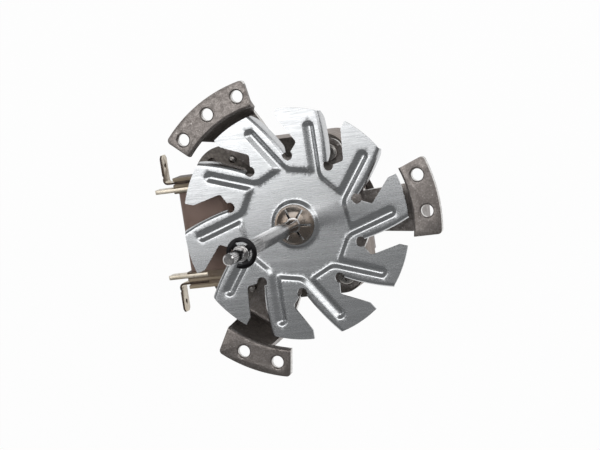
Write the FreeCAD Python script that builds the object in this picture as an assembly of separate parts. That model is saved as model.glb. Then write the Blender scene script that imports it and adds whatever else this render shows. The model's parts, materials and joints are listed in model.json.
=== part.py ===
import FreeCAD, Part
import math
import os

# Oven fan motor: a shaded-pole motor on a three-armed mounting bracket, with a
# stamped cooling fan and a long output shaft. Millimetres.
# Frame: +Z along the shaft towards its tip, origin on the shaft axis in the
# front face of the mounting feet. The coil lies on the -X side.

# Mounting bracket
SHEET = 2.5                  # sheet thickness
BOLT_RADIUS = 55.0           # radius of the bolt circle
BOLT_HOLE_R = 2.4
BOLT_STEP = 15.0             # degrees between neighbouring bolt holes
HOLE_RIM = 0.8               # rolled edge at the front of each bolt hole
FOOT_INSIDE = 5.8            # bolt circle to a foot's inner edge
FOOT_OUTSIDE = 5.3           # bolt circle to a foot's outer edge
FOOT_CORNER = 1.7
FOOT_SIDE = 9.4              # arm's axis to the straight end of a two-hole foot
FOOT_END = 5.8               # degrees from the last hole to a two-hole foot's other end
WIDE_FOOT_END = 4.6          # degrees from the outer holes to the ends of the wide foot
WALL_TOP = 9.1               # arm's axis to the plain end of its wall, under the foot
ARM_DEPTH = 25.0             # feet to the front face of the arms
WALL_DRAFT = 1.7             # how far the wall leans in over its depth
BEND_IN = 1.0                # inside radius of a bend
FOOT_EDGE = 1.2              # coined edge between foot and wall
ARM_HALF = 7.6               # half width of an arm at its root
ARM_LAP = 4.0                # how far an arm's flat runs in under the dish
ARM_SIDES = (10.4, 8.8)      # arm's axis to its clockwise and other edge at the wall
WIDE_ARM_SIDES = (8.2, 11.3)
WIDE_ARM_WAIST = (31.0, 7.2) # where the wide arm starts to spread
DISH_RISE = 4.0              # the dish stands proud of the arms by this
DISH_ROOM = 0.4              # dish top past the shading rings' legs
DISH_SLOPE = 4.5             # width of the dish's sloping side
EAR_R = 5.6                  # ears round the corner screws

# Stator
STACK = 19.4                 # thickness of the lamination stack
CORE_LEFT = 46.5             # shaft axis to the coil end of the stack
CORE_RIGHT_WALL = 2.65       # stator bore to the plain end
CORE_SIDE = 6.62             # coil-side screws to the side of the stack
CORE_ROUND_LEFT = 13.0
CORE_ROUND_RIGHT = 9.5
YOKE_IN = 20.0               # half width of the coil window
WINDOW_WALL = 4.15           # stator bore to the coil window
LEG = 10.0                   # width of the coil leg
STATOR_BORE = 16.35
CORNER_HOLE = (8.3, 6.4)     # spare hole, in from each coil-side corner
CORNER_HOLE_R = 2.15
RIVET_AT = (29.2, 26.9)      # stack rivets, either side of the coil
RIVET_R = 1.2
RIVET_HEAD = 1.7
RIVET_DOME = 1.2
DOVETAIL = 1.6               # tongue of the coil leg in each yoke arm
SHADE_WIRE = 0.8             # radius of the shading ring wire
SHADE_ANGLES = ((38.0, 66.0), (74.0, 100.0))
SHADE_WALL = 2.25            # stator bore to the shading ring legs

# Screws that hold bracket, stack and rear bracket together
SCREW_R = 2.0
SCREW_CLEAR = 0.15
SCREW_HEAD_R = 3.6
SCREW_HEAD = 2.6
SCREW_NUT = 3.2
NUT_ACROSS = 7.0
SCREW_END = 1.2              # thread past the nut
ARM_SCREW_OUT = 6.5          # dish to the screws in the two coil-side arms
EAR_SCREW_OUT = 4.4          # dish to the screws in the ears
EAR_ANGLE = 63.6
ARM_ANGLE = 120.0            # between neighbouring arms

# Shaft and rotor
SHAFT_R = 3.0
SHAFT_TIP = 77.0
SHAFT_REAR = -66.0
NECK_R = 2.65                # neck in front of the fan washer
NECK_END = 10.2
SPLINE = (43.5, 59.0)        # serrations behind the impeller clip
SPLINE_TEETH = 16
SPLINE_DEPTH = 0.22
CLIP_AT = 61.6               # middle of the clip's groove
GROOVE_R = 2.3
TIP_R = 2.15
AIR_GAP = 0.35
ROTOR_BARS = 17
BAR_R = 1.1
BAR_SKEW = 12.0
END_RING = 2.8
RUNNING = 0.03               # shaft to bearing
SLIP = 0.15                  # loose fit of still pieces
THRUST_R = 5.2
THRUST_GAP = 0.3             # end play at each thrust washer

# Cooling fan
FAN_SHEET = 0.8
FAN_RISE = 6.6               # bearing cup to the front face of the blades
FAN_R = 46.1
BLADES = 10
RELIEF_R = 2.05              # relief hole at the root of each slot
RELIEF_AT = (1.2, 27.4)
SLOT_TOP = (-0.95, 42.6)     # outer end of a blade's plain edge
SLOT_BULGE = (5.7, 32.2)     # widest corner of the slot
SLOT_ROOT = (2.6, 28.6)      # where the slot meets its relief hole
RIB_OFF = 11.5               # rib centre line misses the axis by this
RIB_HALF = 2.4
RIB_END = 39.9
PRESS_DEPTH = 1.1            # plateau and ribs are pressed back by this
PRESS_SLOPE = 1.2            # width of the slope round the pressing
PLATEAU = 22.6               # apothem of the ten-sided plateau
PLATEAU_TURN = 80.0
FLAP_HEIGHT = 5.8
FLAP_BOW = 80.0              # radius of each curved bend line
FLAP_OUTER = (16.5, 43.05)   # outer end of the bend line
FLAP_INNER = (17.0, 24.6)    # inner end of the bend line
FLAP_BEND = 0.9
BOSS_R = 8.4                 # raised hub
BOSS_FOOT_R = 9.8
BOSS_RISE = 1.35
COLLAR_R = 6.6

# Push-on washer and clip
STAR_R = 8.1
STAR_SHEET = 0.5
STAR_RISE = 1.3
STAR_RIM = 0.9
STAR_SLOTS = 6
STAR_SLOT = (3.9, 0.9)
CLIP_R = 5.8
CLIP_SHEET = 0.9
CLIP_BAND = 1.7
CLIP_PRONG = 2.4
CLIP_GAP = 62.0

# Bearings
BALL_R = 6.4                 # spherical bearing bush
BUSH_HALF = 4.2
BUSH_STEP = 3.4              # housing face to the middle of its bush
CUP_WALL = 1.2
FELT_R = 8.6
FELT_HALF = 2.0
CUP_IN = 9.0
FLANGE_R = 16.0
FLANGE_RIVET = 13.2
CUP_RIVET_R = 1.2
CUP_RIVET_HEAD = 2.2
CUP_RIVET_DOME = 1.1
RIVET_TURN = 15.0            # degrees to the first flange rivet
CLIP_STEEL = 0.6
CLIP_SEAT = 2.4              # middle of the bush to its spring clip
CUP_ROOM = 0.6               # front bush to the end of its cup
REAR_SHEET = 2.0
REAR_RISE = 6.0

# Coil
BOBBIN_WALL = 1.3
WINDING_X = 4.2              # build of the winding to each side
WINDING_Z = 6.6              # build in front of and behind the leg
FLANGE_AT = 16.3             # inner faces of the bobbin flanges
TAPE = 0.5
COIL_ROUND = 4.0
BLOCK_OUT = 22.8             # terminal block's outer face
BLOCK_RISE = 1.4             # outer rib of the block past the tabs
BLOCK_RIB = 0.5              # inner rib lies behind the outer one by this
BLOCK_LEDGE = 0.8            # seat of the straight tab stands out by this
FLANGE_LIP = 0.9             # flange stands proud of the tape

# Terminals, 6.3 mm tabs: two straight and folded double, two bent
TAB_W = 6.3
TAB_T = 0.8
TAB_OUT = 9.5                # stack to the front edge of the tabs
TAB_ROOT = 44.0
TAB_HOLE_R = 0.95
TAB_HOLE_IN = 4.3            # tab's end to its hole
PIN_T = 1.7
PIN_Y = 16.9
PIN_TIP = 61.3
PIN_NOSE = 0.6
BENT_Y = 20.3
BENT_X = 57.0
BENT_TIP = 32.4
BENT_NOSE = 1.3
BENT_IN = 1.1                # inside radius of the bend
BENT_NICK = (1.0, 0.7)       # notch beside the bend: along the tab, into its edge

# Worked out from the above
FOOT_IN = BOLT_RADIUS - FOOT_INSIDE
FOOT_OUT = BOLT_RADIUS + FOOT_OUTSIDE
SHADE_R = STATOR_BORE + SHADE_WALL
CORE_RIGHT = STATOR_BORE + CORE_RIGHT_WALL
WINDOW_END = STATOR_BORE + WINDOW_WALL
DISH_TOP_R = SHADE_R + DISH_ROOM
DISH_FOOT_R = DISH_TOP_R + DISH_SLOPE
ARM_ROOT = DISH_FOOT_R - 1.5
ARM_SCREW = DISH_FOOT_R + ARM_SCREW_OUT
EAR_SCREW = DISH_FOOT_R + EAR_SCREW_OUT
ARM_FRONT = -ARM_DEPTH
ARM_BACK = ARM_FRONT - SHEET
DISH_FRONT = ARM_FRONT + DISH_RISE
DISH_BACK = DISH_FRONT - SHEET
STACK_FRONT = ARM_BACK
STACK_BACK = STACK_FRONT - STACK
STACK_MID = (STACK_FRONT + STACK_BACK) / 2.0
TAB_FRONT = STACK_FRONT + TAB_OUT
BLOCK_FRONT = TAB_FRONT + BLOCK_RISE
FRONT_BUSH = DISH_FRONT + BUSH_STEP
FRONT_CUP_TOP = FRONT_BUSH + BUSH_HALF + CUP_ROOM + CUP_WALL
FAN_FRONT = FRONT_CUP_TOP + FAN_RISE
PLATE_FRONT = FAN_FRONT - PRESS_DEPTH
BOSS_FRONT = PLATE_FRONT + BOSS_RISE
CORE_HALF = ARM_SCREW * math.sin(math.radians(ARM_ANGLE)) + CORE_SIDE
CORE_INNER = CORE_LEFT - LEG
LEG_X = -(CORE_LEFT + CORE_INNER) / 2.0
SCREW_HOLE_R = SCREW_R + SCREW_CLEAR
ROTOR_R = STATOR_BORE - AIR_GAP
REAR_TOP = STACK_BACK - REAR_RISE
REAR_BUSH = REAR_TOP - BUSH_STEP
REAR_CUP_END = REAR_BUSH - BUSH_HALF - 2 * CUP_WALL

Z = FreeCAD.Vector(0, 0, 1)
O = FreeCAD.Vector(0, 0, 0)


def vec(x, y, z=0.0):
    return FreeCAD.Vector(x, y, z)


def polar(radius, degrees, z=0.0):
    a = math.radians(degrees)
    return vec(radius * math.cos(a), radius * math.sin(a), z)


def rod(radius, low, high, x=0.0, y=0.0):
    return Part.makeCylinder(radius, high - low, vec(x, y, low))


def ring(outer, inner, low, high, x=0.0, y=0.0):
    return rod(outer, low, high, x, y).cut(rod(inner, low - 1, high + 1, x, y))


def box(low, high):
    size = high.sub(low)
    return Part.makeBox(size.x, size.y, size.z, low)


def turned(shape, degrees):
    copy = shape.copy()
    copy.rotate(O, Z, degrees)
    return copy


def around(shape, count, start=0.0):
    return [turned(shape, start + 360.0 * i / count) for i in range(count)]


def join(shapes):
    shapes = list(shapes)
    if len(shapes) == 1:
        return shapes[0]
    return shapes[0].fuse(shapes[1:]).removeSplitter()


def line_meet(p, d, q, e):
    """Where the line through p along d meets the line through q along e."""
    cross = d[0] * e[1] - d[1] * e[0]
    s = ((q[0] - p[0]) * e[1] - (q[1] - p[1]) * e[0]) / cross
    return (p[0] + s * d[0], p[1] + s * d[1])


def rounded_wire(points, radii, place):
    """Closed outline through points, each corner rounded by its radius."""
    count = len(points)
    starts, ends, mids = [], [], []
    for i in range(count):
        p = points[i]
        to_last = unit(points[i - 1][0] - p[0], points[i - 1][1] - p[1])
        to_next = unit(points[(i + 1) % count][0] - p[0], points[(i + 1) % count][1] - p[1])
        half = math.acos(max(-1, min(1, to_last[0] * to_next[0] + to_last[1] * to_next[1]))) / 2
        if radii[i] <= 0 or half > 1.5533:
            starts.append(p)
            ends.append(p)
            mids.append(None)
            continue
        reach = radii[i] / math.tan(half)
        inward = unit(to_last[0] + to_next[0], to_last[1] + to_next[1])
        depth = radii[i] / math.sin(half) - radii[i]
        starts.append((p[0] + to_last[0] * reach, p[1] + to_last[1] * reach))
        ends.append((p[0] + to_next[0] * reach, p[1] + to_next[1] * reach))
        mids.append((p[0] + inward[0] * depth, p[1] + inward[1] * depth))
    edges = []
    for i in range(count):
        if mids[i]:
            edges.append(Part.Arc(place(starts[i]), place(mids[i]), place(ends[i])).toShape())
        nxt = starts[(i + 1) % count]
        if math.dist(ends[i], nxt) > 1e-4:
            edges.append(Part.makeLine(place(ends[i]), place(nxt)))
    return Part.Wire(edges)


def unit(x, y):
    size = math.hypot(x, y)
    return (x / size, y / size)


def flat(z):
    return lambda p: vec(p[0], p[1], z)


def in_section(p):
    """A point of a turned section: radius, then height."""
    return vec(p[0], 0, p[1])


def along_y(y):
    return lambda p: vec(p[0], y, p[1])


def plate(points, radii, low, high):
    face = Part.Face(rounded_wire(points, radii, flat(low)))
    return face.extrude(vec(0, 0, high - low))


def revolved(points, radii, start=0.0, span=360.0):
    face = Part.Face(rounded_wire(points, radii, in_section))
    return turned(face.revolve(O, Z, span), start)


def rectangle(x0, y0, x1, y1):
    return [(x0, y0), (x1, y0), (x1, y1), (x0, y1)]


def y_tube(outer, radius, y0, y1):
    """Rounded bar along Y; outer is its x and z limits."""
    points = rectangle(*outer)
    face = Part.Face(rounded_wire(points, [radius] * 4, along_y(y0)))
    return face.extrude(vec(0, y1 - y0, 0))


def screw_spots():
    spots = [polar(ARM_SCREW, ARM_ANGLE), polar(ARM_SCREW, -ARM_ANGLE)]
    spots += [polar(EAR_SCREW, EAR_ANGLE), polar(EAR_SCREW, -EAR_ANGLE)]
    return [(p.x, p.y) for p in spots]


# Mounting bracket


def bent_section():
    """Foot edge, wall and arm end of one bent sheet: radius, height."""
    low_in = FOOT_IN - WALL_DRAFT
    out, lap = FOOT_IN + SHEET + BEND_IN + 1, low_in - SHEET - BEND_IN
    points = [
        (out, 0), (FOOT_IN, 0), (low_in, ARM_FRONT), (lap, ARM_FRONT), (lap, ARM_BACK),
        (low_in + SHEET, ARM_BACK), (FOOT_IN + SHEET, -SHEET), (out, -SHEET),
    ]
    radii = [0, FOOT_EDGE, BEND_IN, 0, 0, BEND_IN + SHEET, BEND_IN, 0]
    return points, radii


def foot(start, end, trim):
    """Flat curved foot, its two outer corners rounded."""
    points, radii = rectangle(FOOT_IN + FOOT_EDGE, -SHEET, FOOT_OUT, 0), [0, 0, 0, 0]
    shape = revolved(points, radii, start, end - start).cut(trim)
    corners = [e for e in shape.Edges if is_upright(e, FOOT_OUT)]
    shape = shape.makeFillet(FOOT_CORNER, corners)
    points = rectangle(FOOT_IN, -SHEET, FOOT_IN + FOOT_EDGE + 1, 0)
    lip = revolved(points, [0, 0, 0, FOOT_EDGE], start, end - start)
    return shape.fuse(lip.cut(trim))


def bolt_hole(angle):
    """Cutter for one bolt hole with its rolled front rim."""
    rim = BOLT_HOLE_R + HOLE_RIM
    points = rectangle(0, -SHEET - 1, BOLT_HOLE_R, 1)
    straight = Part.Face(rounded_wire(points, [0] * 4, in_section))
    inside = BOLT_HOLE_R - 0.2
    bell_points = [(inside, -HOLE_RIM), (BOLT_HOLE_R, -HOLE_RIM), (rim, 0), (rim, 1), (inside, 1)]
    bell = revolved(bell_points, [0] * 5)
    roll = Part.makeTorus(rim, HOLE_RIM, vec(0, 0, -HOLE_RIM))
    cutter = straight.revolve(O, Z, 360).fuse(bell.cut(roll))
    cutter.translate(polar(BOLT_RADIUS, angle))
    return cutter


def is_upright(edge, radius):
    ends = [v.Point for v in edge.Vertexes]
    if len(ends) != 2 or abs(abs(ends[0].z - ends[1].z) - SHEET) > 1e-3:
        return False
    return all(abs(math.hypot(p.x, p.y) - radius) < 1e-3 for p in ends)


def is_rim(edge, radius, z):
    """Whether an edge is the circle of this radius at this height."""
    if not isinstance(edge.Curve, Part.Circle):
        return False
    return abs(edge.Curve.Radius - radius) < 1e-3 and abs(edge.Curve.Center.z - z) < 1e-3


def side_trim(top, bottom, above):
    """Cutter beyond one edge of an arm, its wall and, if above 0, its foot."""
    low, far = ARM_BACK - 1, math.copysign(FOOT_OUT, top)
    points = [(top, -SHEET), (bottom, ARM_FRONT), (bottom, low), (far, low), (far, above)]
    if above > -SHEET:
        points.append((top, above))
    wire = Part.makePolygon([vec(0, y, z) for y, z in points + points[:1]])
    return Part.Face(wire).extrude(vec(FOOT_OUT + 5, 0, 0))


def web_outline(left, right, waist):
    """Flat of an arm from the dish to its wall."""
    wall_in = FOOT_IN - WALL_DRAFT
    near = wall_in - 2 * SHEET - BEND_IN
    far = math.sqrt((wall_in - BEND_IN) ** 2 - max(left, right) ** 2)
    root = ARM_ROOT - ARM_LAP
    wall_end = [(near, -left), (far, -left), (far, right), (near, right)]
    return [(root, -ARM_HALF)] + wall_end + waist + [(root, ARM_HALF)]


def arm(angle, steps):
    """One arm with its wall and foot, from the dish out to the bolt circle."""
    wide = len(steps) > 2
    left, right = WIDE_ARM_SIDES if wide else ARM_SIDES
    if wide:
        start, end = min(steps) - WIDE_FOOT_END, max(steps) + WIDE_FOOT_END
        trim = side_trim(polar(FOOT_IN + SHEET, start).y, -left, -SHEET)
    else:
        start, end = -math.degrees(math.asin(FOOT_SIDE / FOOT_IN)) - 1, max(steps) + FOOT_END
        trim = side_trim(-FOOT_SIDE, -left, 1)
    points, radii = bent_section()
    wall = revolved(points, radii, start, end - start).cut([trim, side_trim(WALL_TOP, right, -SHEET)])
    outline = web_outline(left, right, [WIDE_ARM_WAIST] if wide else [])
    web = plate(outline, [0] * len(outline), ARM_BACK, ARM_FRONT)
    return [turned(piece, angle) for piece in (wall, foot(start, end, trim), web)]


def dish():
    """Raised centre that carries the bearing housing."""
    points = [
        (CUP_IN + CUP_WALL + 0.4, DISH_FRONT), (DISH_TOP_R, DISH_FRONT), (DISH_FOOT_R, ARM_FRONT),
        (DISH_FOOT_R + 2, ARM_FRONT), (DISH_FOOT_R + 2, ARM_BACK), (DISH_FOOT_R - 1.2, ARM_BACK),
        (DISH_TOP_R - 1.2, DISH_BACK), (CUP_IN + CUP_WALL + 0.4, DISH_BACK),
    ]
    radii = [0, 1.8, 1.0, 0, 0, 0.8, 0.8, 0]
    return revolved(points, radii)


def ear(x, y):
    """Lobe of the sheet round a corner screw."""
    lobe = rod(EAR_R, ARM_BACK, ARM_FRONT, x, y)
    side = unit(-y, x)
    root = unit(x, y)
    inner = ARM_ROOT - 2
    points = [
        (x + side[0] * EAR_R, y + side[1] * EAR_R), (x - side[0] * EAR_R, y - side[1] * EAR_R),
        (root[0] * inner - side[0] * EAR_R * 1.4, root[1] * inner - side[1] * EAR_R * 1.4),
        (root[0] * inner + side[0] * EAR_R * 1.4, root[1] * inner + side[1] * EAR_R * 1.4),
    ]
    return lobe.fuse(plate(points, [0] * 4, ARM_BACK, ARM_FRONT))


def mounting_bracket():
    pair = (0.0, BOLT_STEP)
    rows = {ARM_ANGLE: (-BOLT_STEP, 0.0, BOLT_STEP), 0.0: pair, -ARM_ANGLE: pair}
    pieces, holes = [], []
    for angle, row in rows.items():
        pieces += arm(angle, row)
        holes += [bolt_hole(angle + step) for step in row]
    pieces += [ear(*spot) for spot in screw_spots()[2:]]
    flat_part = join(pieces).cut(rod(DISH_FOOT_R - 0.2, ARM_BACK - 1, ARM_FRONT + 1))
    shape = join([flat_part, dish()]).cut(holes)
    for x, y in screw_spots():
        shape = shape.cut(rod(SCREW_HOLE_R, ARM_BACK - 1, ARM_FRONT + 1, x, y))
    pin = rod(CUP_RIVET_R + 0.05, DISH_BACK - 1, DISH_FRONT + 1, FLANGE_RIVET)
    return shape.cut(around(pin, 3, RIVET_TURN))


# Stator


def core_outline(low, high):
    points = rectangle(-CORE_LEFT, -CORE_HALF, CORE_RIGHT, CORE_HALF)
    radii = [CORE_ROUND_LEFT, CORE_ROUND_RIGHT, CORE_ROUND_RIGHT, CORE_ROUND_LEFT]
    return plate(points, radii, low, high)


def leg_outline(low, high):
    """Coil leg with a dovetail tongue at each end."""
    half = LEG / 2.0
    end = YOKE_IN
    neck, tail = half * 0.45, half * 0.7
    points = [
        (LEG_X - half, -end), (LEG_X - neck, -end), (LEG_X - tail, -end - DOVETAIL),
        (LEG_X + tail, -end - DOVETAIL), (LEG_X + neck, -end), (LEG_X + half, -end),
        (LEG_X + half, end), (LEG_X + neck, end), (LEG_X + tail, end + DOVETAIL),
        (LEG_X - tail, end + DOVETAIL), (LEG_X - neck, end), (LEG_X - half, end),
    ]
    return plate(points, [0] * len(points), low, high)


def shade_legs():
    """Where the shading rings pass through the stack: angle pairs."""
    return [(a + turn, b + turn) for turn in (0.0, 180.0) for a, b in SHADE_ANGLES]


def stator_core():
    shape = core_outline(STACK_BACK, STACK_FRONT)
    low, high = STACK_BACK - 1, STACK_FRONT + 1
    window = plate(rectangle(-CORE_LEFT - 1, -YOKE_IN, -WINDOW_END, YOKE_IN), [0, 2.5, 2.5, 0], low, high)
    shape = shape.cut([window, leg_outline(low, high), rod(STATOR_BORE, low, high)])
    holes = [rod(SCREW_HOLE_R, low, high, x, y) for x, y in screw_spots()]
    corner = (CORE_LEFT - CORNER_HOLE[0], CORE_HALF - CORNER_HOLE[1])
    for side in (1, -1):
        holes.append(rod(CORNER_HOLE_R, low, high, -corner[0], side * corner[1]))
        holes.append(rod(RIVET_R, low, high, -RIVET_AT[0], side * RIVET_AT[1]))
    for pair in shade_legs():
        for angle in pair:
            spot = polar(SHADE_R, angle)
            holes.append(rod(SHADE_WIRE + 0.1, low, high, spot.x, spot.y))
    for side in (0, 180):
        holes.append(turned(slit(low, high), side))
    return shape.cut(holes)


def slit(low, high):
    """Slot from the bore that opens the tip of each pole."""
    return box(vec(STATOR_BORE - 1, -0.6, low), vec(STATOR_BORE + 1.1, 0.6, high))


def coil_leg():
    return leg_outline(STACK_BACK, STACK_FRONT)


def shading_rings():
    front, back = STACK_FRONT + SHADE_WIRE + 0.1, STACK_BACK - SHADE_WIRE - 0.1
    rings = []
    for pair in shade_legs():
        spots = [polar(SHADE_R, a) for a in pair]
        corners = [vec(p.x, p.y, z) for p, z in zip(spots + spots[::-1], (front, front, back, back))]
        parts = [Part.makeSphere(SHADE_WIRE, c) for c in corners]
        for i in range(4):
            a, b = corners[i], corners[(i + 1) % 4]
            parts.append(Part.makeCylinder(SHADE_WIRE, a.distanceToPoint(b), a, b.sub(a)))
        rings.append(join(parts))
    return Part.makeCompound(rings)


def domed_pin(radius, head_r, head, low, high, x, y):
    """Rivet with a low domed head at each end."""
    parts = [rod(radius, low, high, x, y)]
    for z, up in ((high, 1), (low, -1)):
        side, crown = z + up * head * 0.45, z + up * head
        points = [(0, z), (head_r, z), (head_r, side), (head_r * 0.55, crown), (0, crown)]
        cap = revolved(points, [0, 0, head * 0.5, head * 0.8, 0])
        cap.translate(vec(x, y, 0))
        parts.append(cap)
    return join(parts)


def core_rivets():
    size = (RIVET_R, RIVET_HEAD, RIVET_DOME, STACK_BACK, STACK_FRONT)
    pins = [domed_pin(*size, -RIVET_AT[0], side * RIVET_AT[1]) for side in (1, -1)]
    return Part.makeCompound(pins)


def frame_screws():
    screws = []
    end = STACK_BACK - REAR_SHEET - SCREW_NUT - SCREW_END
    for x, y in screw_spots():
        shank = rod(SCREW_R, end, ARM_FRONT + 0.1, x, y)
        head = rod(SCREW_HEAD_R, ARM_FRONT, ARM_FRONT + SCREW_HEAD, x, y)
        top = [e for e in head.Edges if is_rim(e, SCREW_HEAD_R, ARM_FRONT + SCREW_HEAD)]
        head = head.makeFillet(1.1, top)
        low, high = ARM_FRONT + SCREW_HEAD / 2, ARM_FRONT + 2 * SCREW_HEAD
        long, thin = SCREW_HEAD_R * 0.55, SCREW_HEAD_R * 0.11
        cross = box(vec(x - long, y - thin, low), vec(x + long, y + thin, high))
        other = box(vec(x - thin, y - long, low), vec(x + thin, y + long, high))
        screws.append(join([shank, head]).cut([cross, other]))
    return Part.makeCompound(screws)


def hexagon(across, x, y):
    corner = across / math.sqrt(3.0)
    spots = [polar(corner, 60.0 * i) for i in range(6)]
    return [(x + p.x, y + p.y) for p in spots]


def frame_nuts():
    top = STACK_BACK - REAR_SHEET
    nuts = []
    for x, y in screw_spots():
        nut = plate(hexagon(NUT_ACROSS, x, y), [0] * 6, top - SCREW_NUT, top)
        nuts.append(nut.cut(rod(SCREW_R, top - SCREW_NUT - 1, top + 1, x, y)))
    return Part.makeCompound(nuts)


# Bearings and their housings


def bearing_cup(seat, end, way):
    """Drawn cup with a flange; seat is the face its flange lies on."""
    out = CUP_IN + CUP_WALL
    points = [
        (SHAFT_R + 1.6, end), (out, end), (out, seat + way * CUP_WALL),
        (FLANGE_R, seat + way * CUP_WALL), (FLANGE_R, seat), (CUP_IN, seat),
        (CUP_IN, end - way * CUP_WALL), (SHAFT_R + 1.6, end - way * CUP_WALL),
    ]
    cup = revolved(points, [0, 2.6, 0.8, 0, 0, 1.2, 1.4, 0])
    pin = rod(CUP_RIVET_R + 0.05, seat - 2 * CUP_WALL, seat + 2 * CUP_WALL, FLANGE_RIVET)
    return cup.cut(around(pin, 3, RIVET_TURN))


def cup_rivets(seat, sheet_back, way):
    pins = []
    front = seat + way * CUP_WALL
    low, high = min(front, sheet_back), max(front, sheet_back)
    for spot in [polar(FLANGE_RIVET, RIVET_TURN + 120 * i) for i in range(3)]:
        pins.append(domed_pin(CUP_RIVET_R, CUP_RIVET_HEAD, CUP_RIVET_DOME, low, high, spot.x, spot.y))
    return Part.makeCompound(pins)


def bush(middle):
    ball = Part.makeSphere(BALL_R, vec(0, 0, middle))
    slab = rod(BALL_R + 1, middle - BUSH_HALF, middle + BUSH_HALF)
    return ball.common(slab).cut(rod(SHAFT_R + RUNNING, middle - BALL_R, middle + BALL_R))


def felt_ring(middle):
    return ring(FELT_R, BALL_R + 0.1, middle - FELT_HALF, middle + FELT_HALF)


def bush_clip(middle, way):
    """Spring washer whose mouth holds the ball of the bush in its cup."""
    back = middle - way * CLIP_SEAT
    inner = math.sqrt(BALL_R ** 2 - CLIP_SEAT ** 2) + 0.05
    low, high = min(back, back - way * CLIP_STEEL), max(back, back - way * CLIP_STEEL)
    shape = ring(CUP_IN, inner, low, high)
    slots = around(box(vec(inner - 1, -0.7, low - 1), vec(CUP_IN - 1.1, 0.7, high + 1)), 6)
    return shape.cut(slots)


def rear_bracket():
    """Drawn rear plate with an ear on each screw and the rear bearing cup."""
    top, foot_back = STACK_BACK, STACK_BACK - REAR_SHEET
    crown = REAR_TOP
    points = [
        (SHAFT_R + 1.6, REAR_CUP_END), (CUP_IN + CUP_WALL, REAR_CUP_END), (CUP_IN + CUP_WALL, crown),
        (DISH_TOP_R, crown), (DISH_FOOT_R, foot_back), (DISH_FOOT_R + 3, foot_back), (DISH_FOOT_R + 3, top),
        (DISH_FOOT_R - 0.8, top), (DISH_TOP_R - 0.8, crown + REAR_SHEET), (CUP_IN, crown + REAR_SHEET),
        (CUP_IN, REAR_CUP_END + CUP_WALL), (SHAFT_R + 1.6, REAR_CUP_END + CUP_WALL),
    ]
    shape = revolved(points, [0, 2.6, 0.8, 2.2, 1, 0, 0, 0.8, 1.2, 1.2, 1.4, 0])
    lobes = []
    for x, y in screw_spots():
        side, root = unit(-y, x), unit(x, y)
        inner = DISH_FOOT_R
        points = [
            (x + side[0] * EAR_R, y + side[1] * EAR_R), (x - side[0] * EAR_R, y - side[1] * EAR_R),
            (root[0] * inner - side[0] * EAR_R * 1.5, root[1] * inner - side[1] * EAR_R * 1.5),
            (root[0] * inner + side[0] * EAR_R * 1.5, root[1] * inner + side[1] * EAR_R * 1.5),
        ]
        if math.hypot(x, y) > DISH_FOOT_R + 3:
            lobes.append(plate(points, [0] * 4, foot_back, top))
        lobes.append(rod(EAR_R, foot_back, top, x, y))
    clear = rod(DISH_FOOT_R - 0.2, foot_back - 1, top + 1)
    shape = join([join(lobes).cut(clear), shape])
    trim = box(vec(CORE_RIGHT, -EAR_SCREW, foot_back - 1), vec(2 * EAR_SCREW, EAR_SCREW, top + 1))
    return shape.cut([rod(SCREW_HOLE_R, foot_back - 1, top + 1, x, y) for x, y in screw_spots()] + [trim])


# Shaft and rotor


def shaft():
    body = rod(SHAFT_R, SHAFT_REAR, CLIP_AT + CLIP_SHEET / 2.0 + 1.0)
    groove = ring(SHAFT_R + 1, GROOVE_R, CLIP_AT - CLIP_SHEET / 2.0, CLIP_AT + CLIP_SHEET / 2.0)
    neck_back = BOSS_FRONT + STAR_RISE + 0.6
    neck_points = [
        (NECK_R, neck_back), (SHAFT_R + 1, neck_back), (SHAFT_R + 1, NECK_END + 0.8),
        (SHAFT_R, NECK_END + 0.8), (NECK_R, NECK_END),
    ]
    neck = revolved(neck_points, [0, 0, 0, 0, 0])
    teeth = []
    for i in range(SPLINE_TEETH):
        cut = box(vec(SHAFT_R - SPLINE_DEPTH, -0.22, SPLINE[0]), vec(SHAFT_R + 1, 0.22, SPLINE[1]))
        teeth.append(turned(cut, 360.0 * i / SPLINE_TEETH))
    body = body.cut([groove, neck] + teeth)
    tip = rod(TIP_R, CLIP_AT, SHAFT_TIP)
    tip = tip.makeChamfer(0.5, [e for e in tip.Edges if is_rim(e, TIP_R, SHAFT_TIP)])
    shape = join([body, tip])
    return shape.makeChamfer(0.5, [e for e in shape.Edges if is_rim(e, SHAFT_R, SHAFT_REAR)])


def bars(radius):
    """Skewed rods of the rotor cage."""
    centre = ROTOR_R - BAR_R - 0.5
    rods = []
    for i in range(ROTOR_BARS):
        angle = 360.0 * i / ROTOR_BARS
        a, b = polar(centre, angle, STACK_BACK), polar(centre, angle + BAR_SKEW, STACK_FRONT)
        rods.append(Part.makeCylinder(radius, a.distanceToPoint(b), a, b.sub(a)))
    return rods


def rotor_core():
    body = ring(ROTOR_R, SHAFT_R, STACK_BACK, STACK_FRONT)
    return body.cut(bars(BAR_R))


def rotor_cage():
    clip_low = rod(ROTOR_R + 2, STACK_BACK, STACK_FRONT)
    inside = [bar.common(clip_low) for bar in bars(BAR_R)]
    rings = [
        ring(ROTOR_R - 0.4, ROTOR_R - 5.0, STACK_FRONT, STACK_FRONT + END_RING),
        ring(ROTOR_R - 0.4, ROTOR_R - 5.0, STACK_BACK - END_RING, STACK_BACK),
    ]
    return join(rings + inside)


def thrust_washers():
    """Loose washers between the rotor stack and each bearing."""
    front = [ring(THRUST_R, SHAFT_R + 0.02, STACK_FRONT, FRONT_BUSH - BUSH_HALF - THRUST_GAP)]
    rear = [ring(THRUST_R, SHAFT_R + 0.02, REAR_BUSH + BUSH_HALF + THRUST_GAP, STACK_BACK)]
    return Part.makeCompound(front + rear)


# Cooling fan


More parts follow.
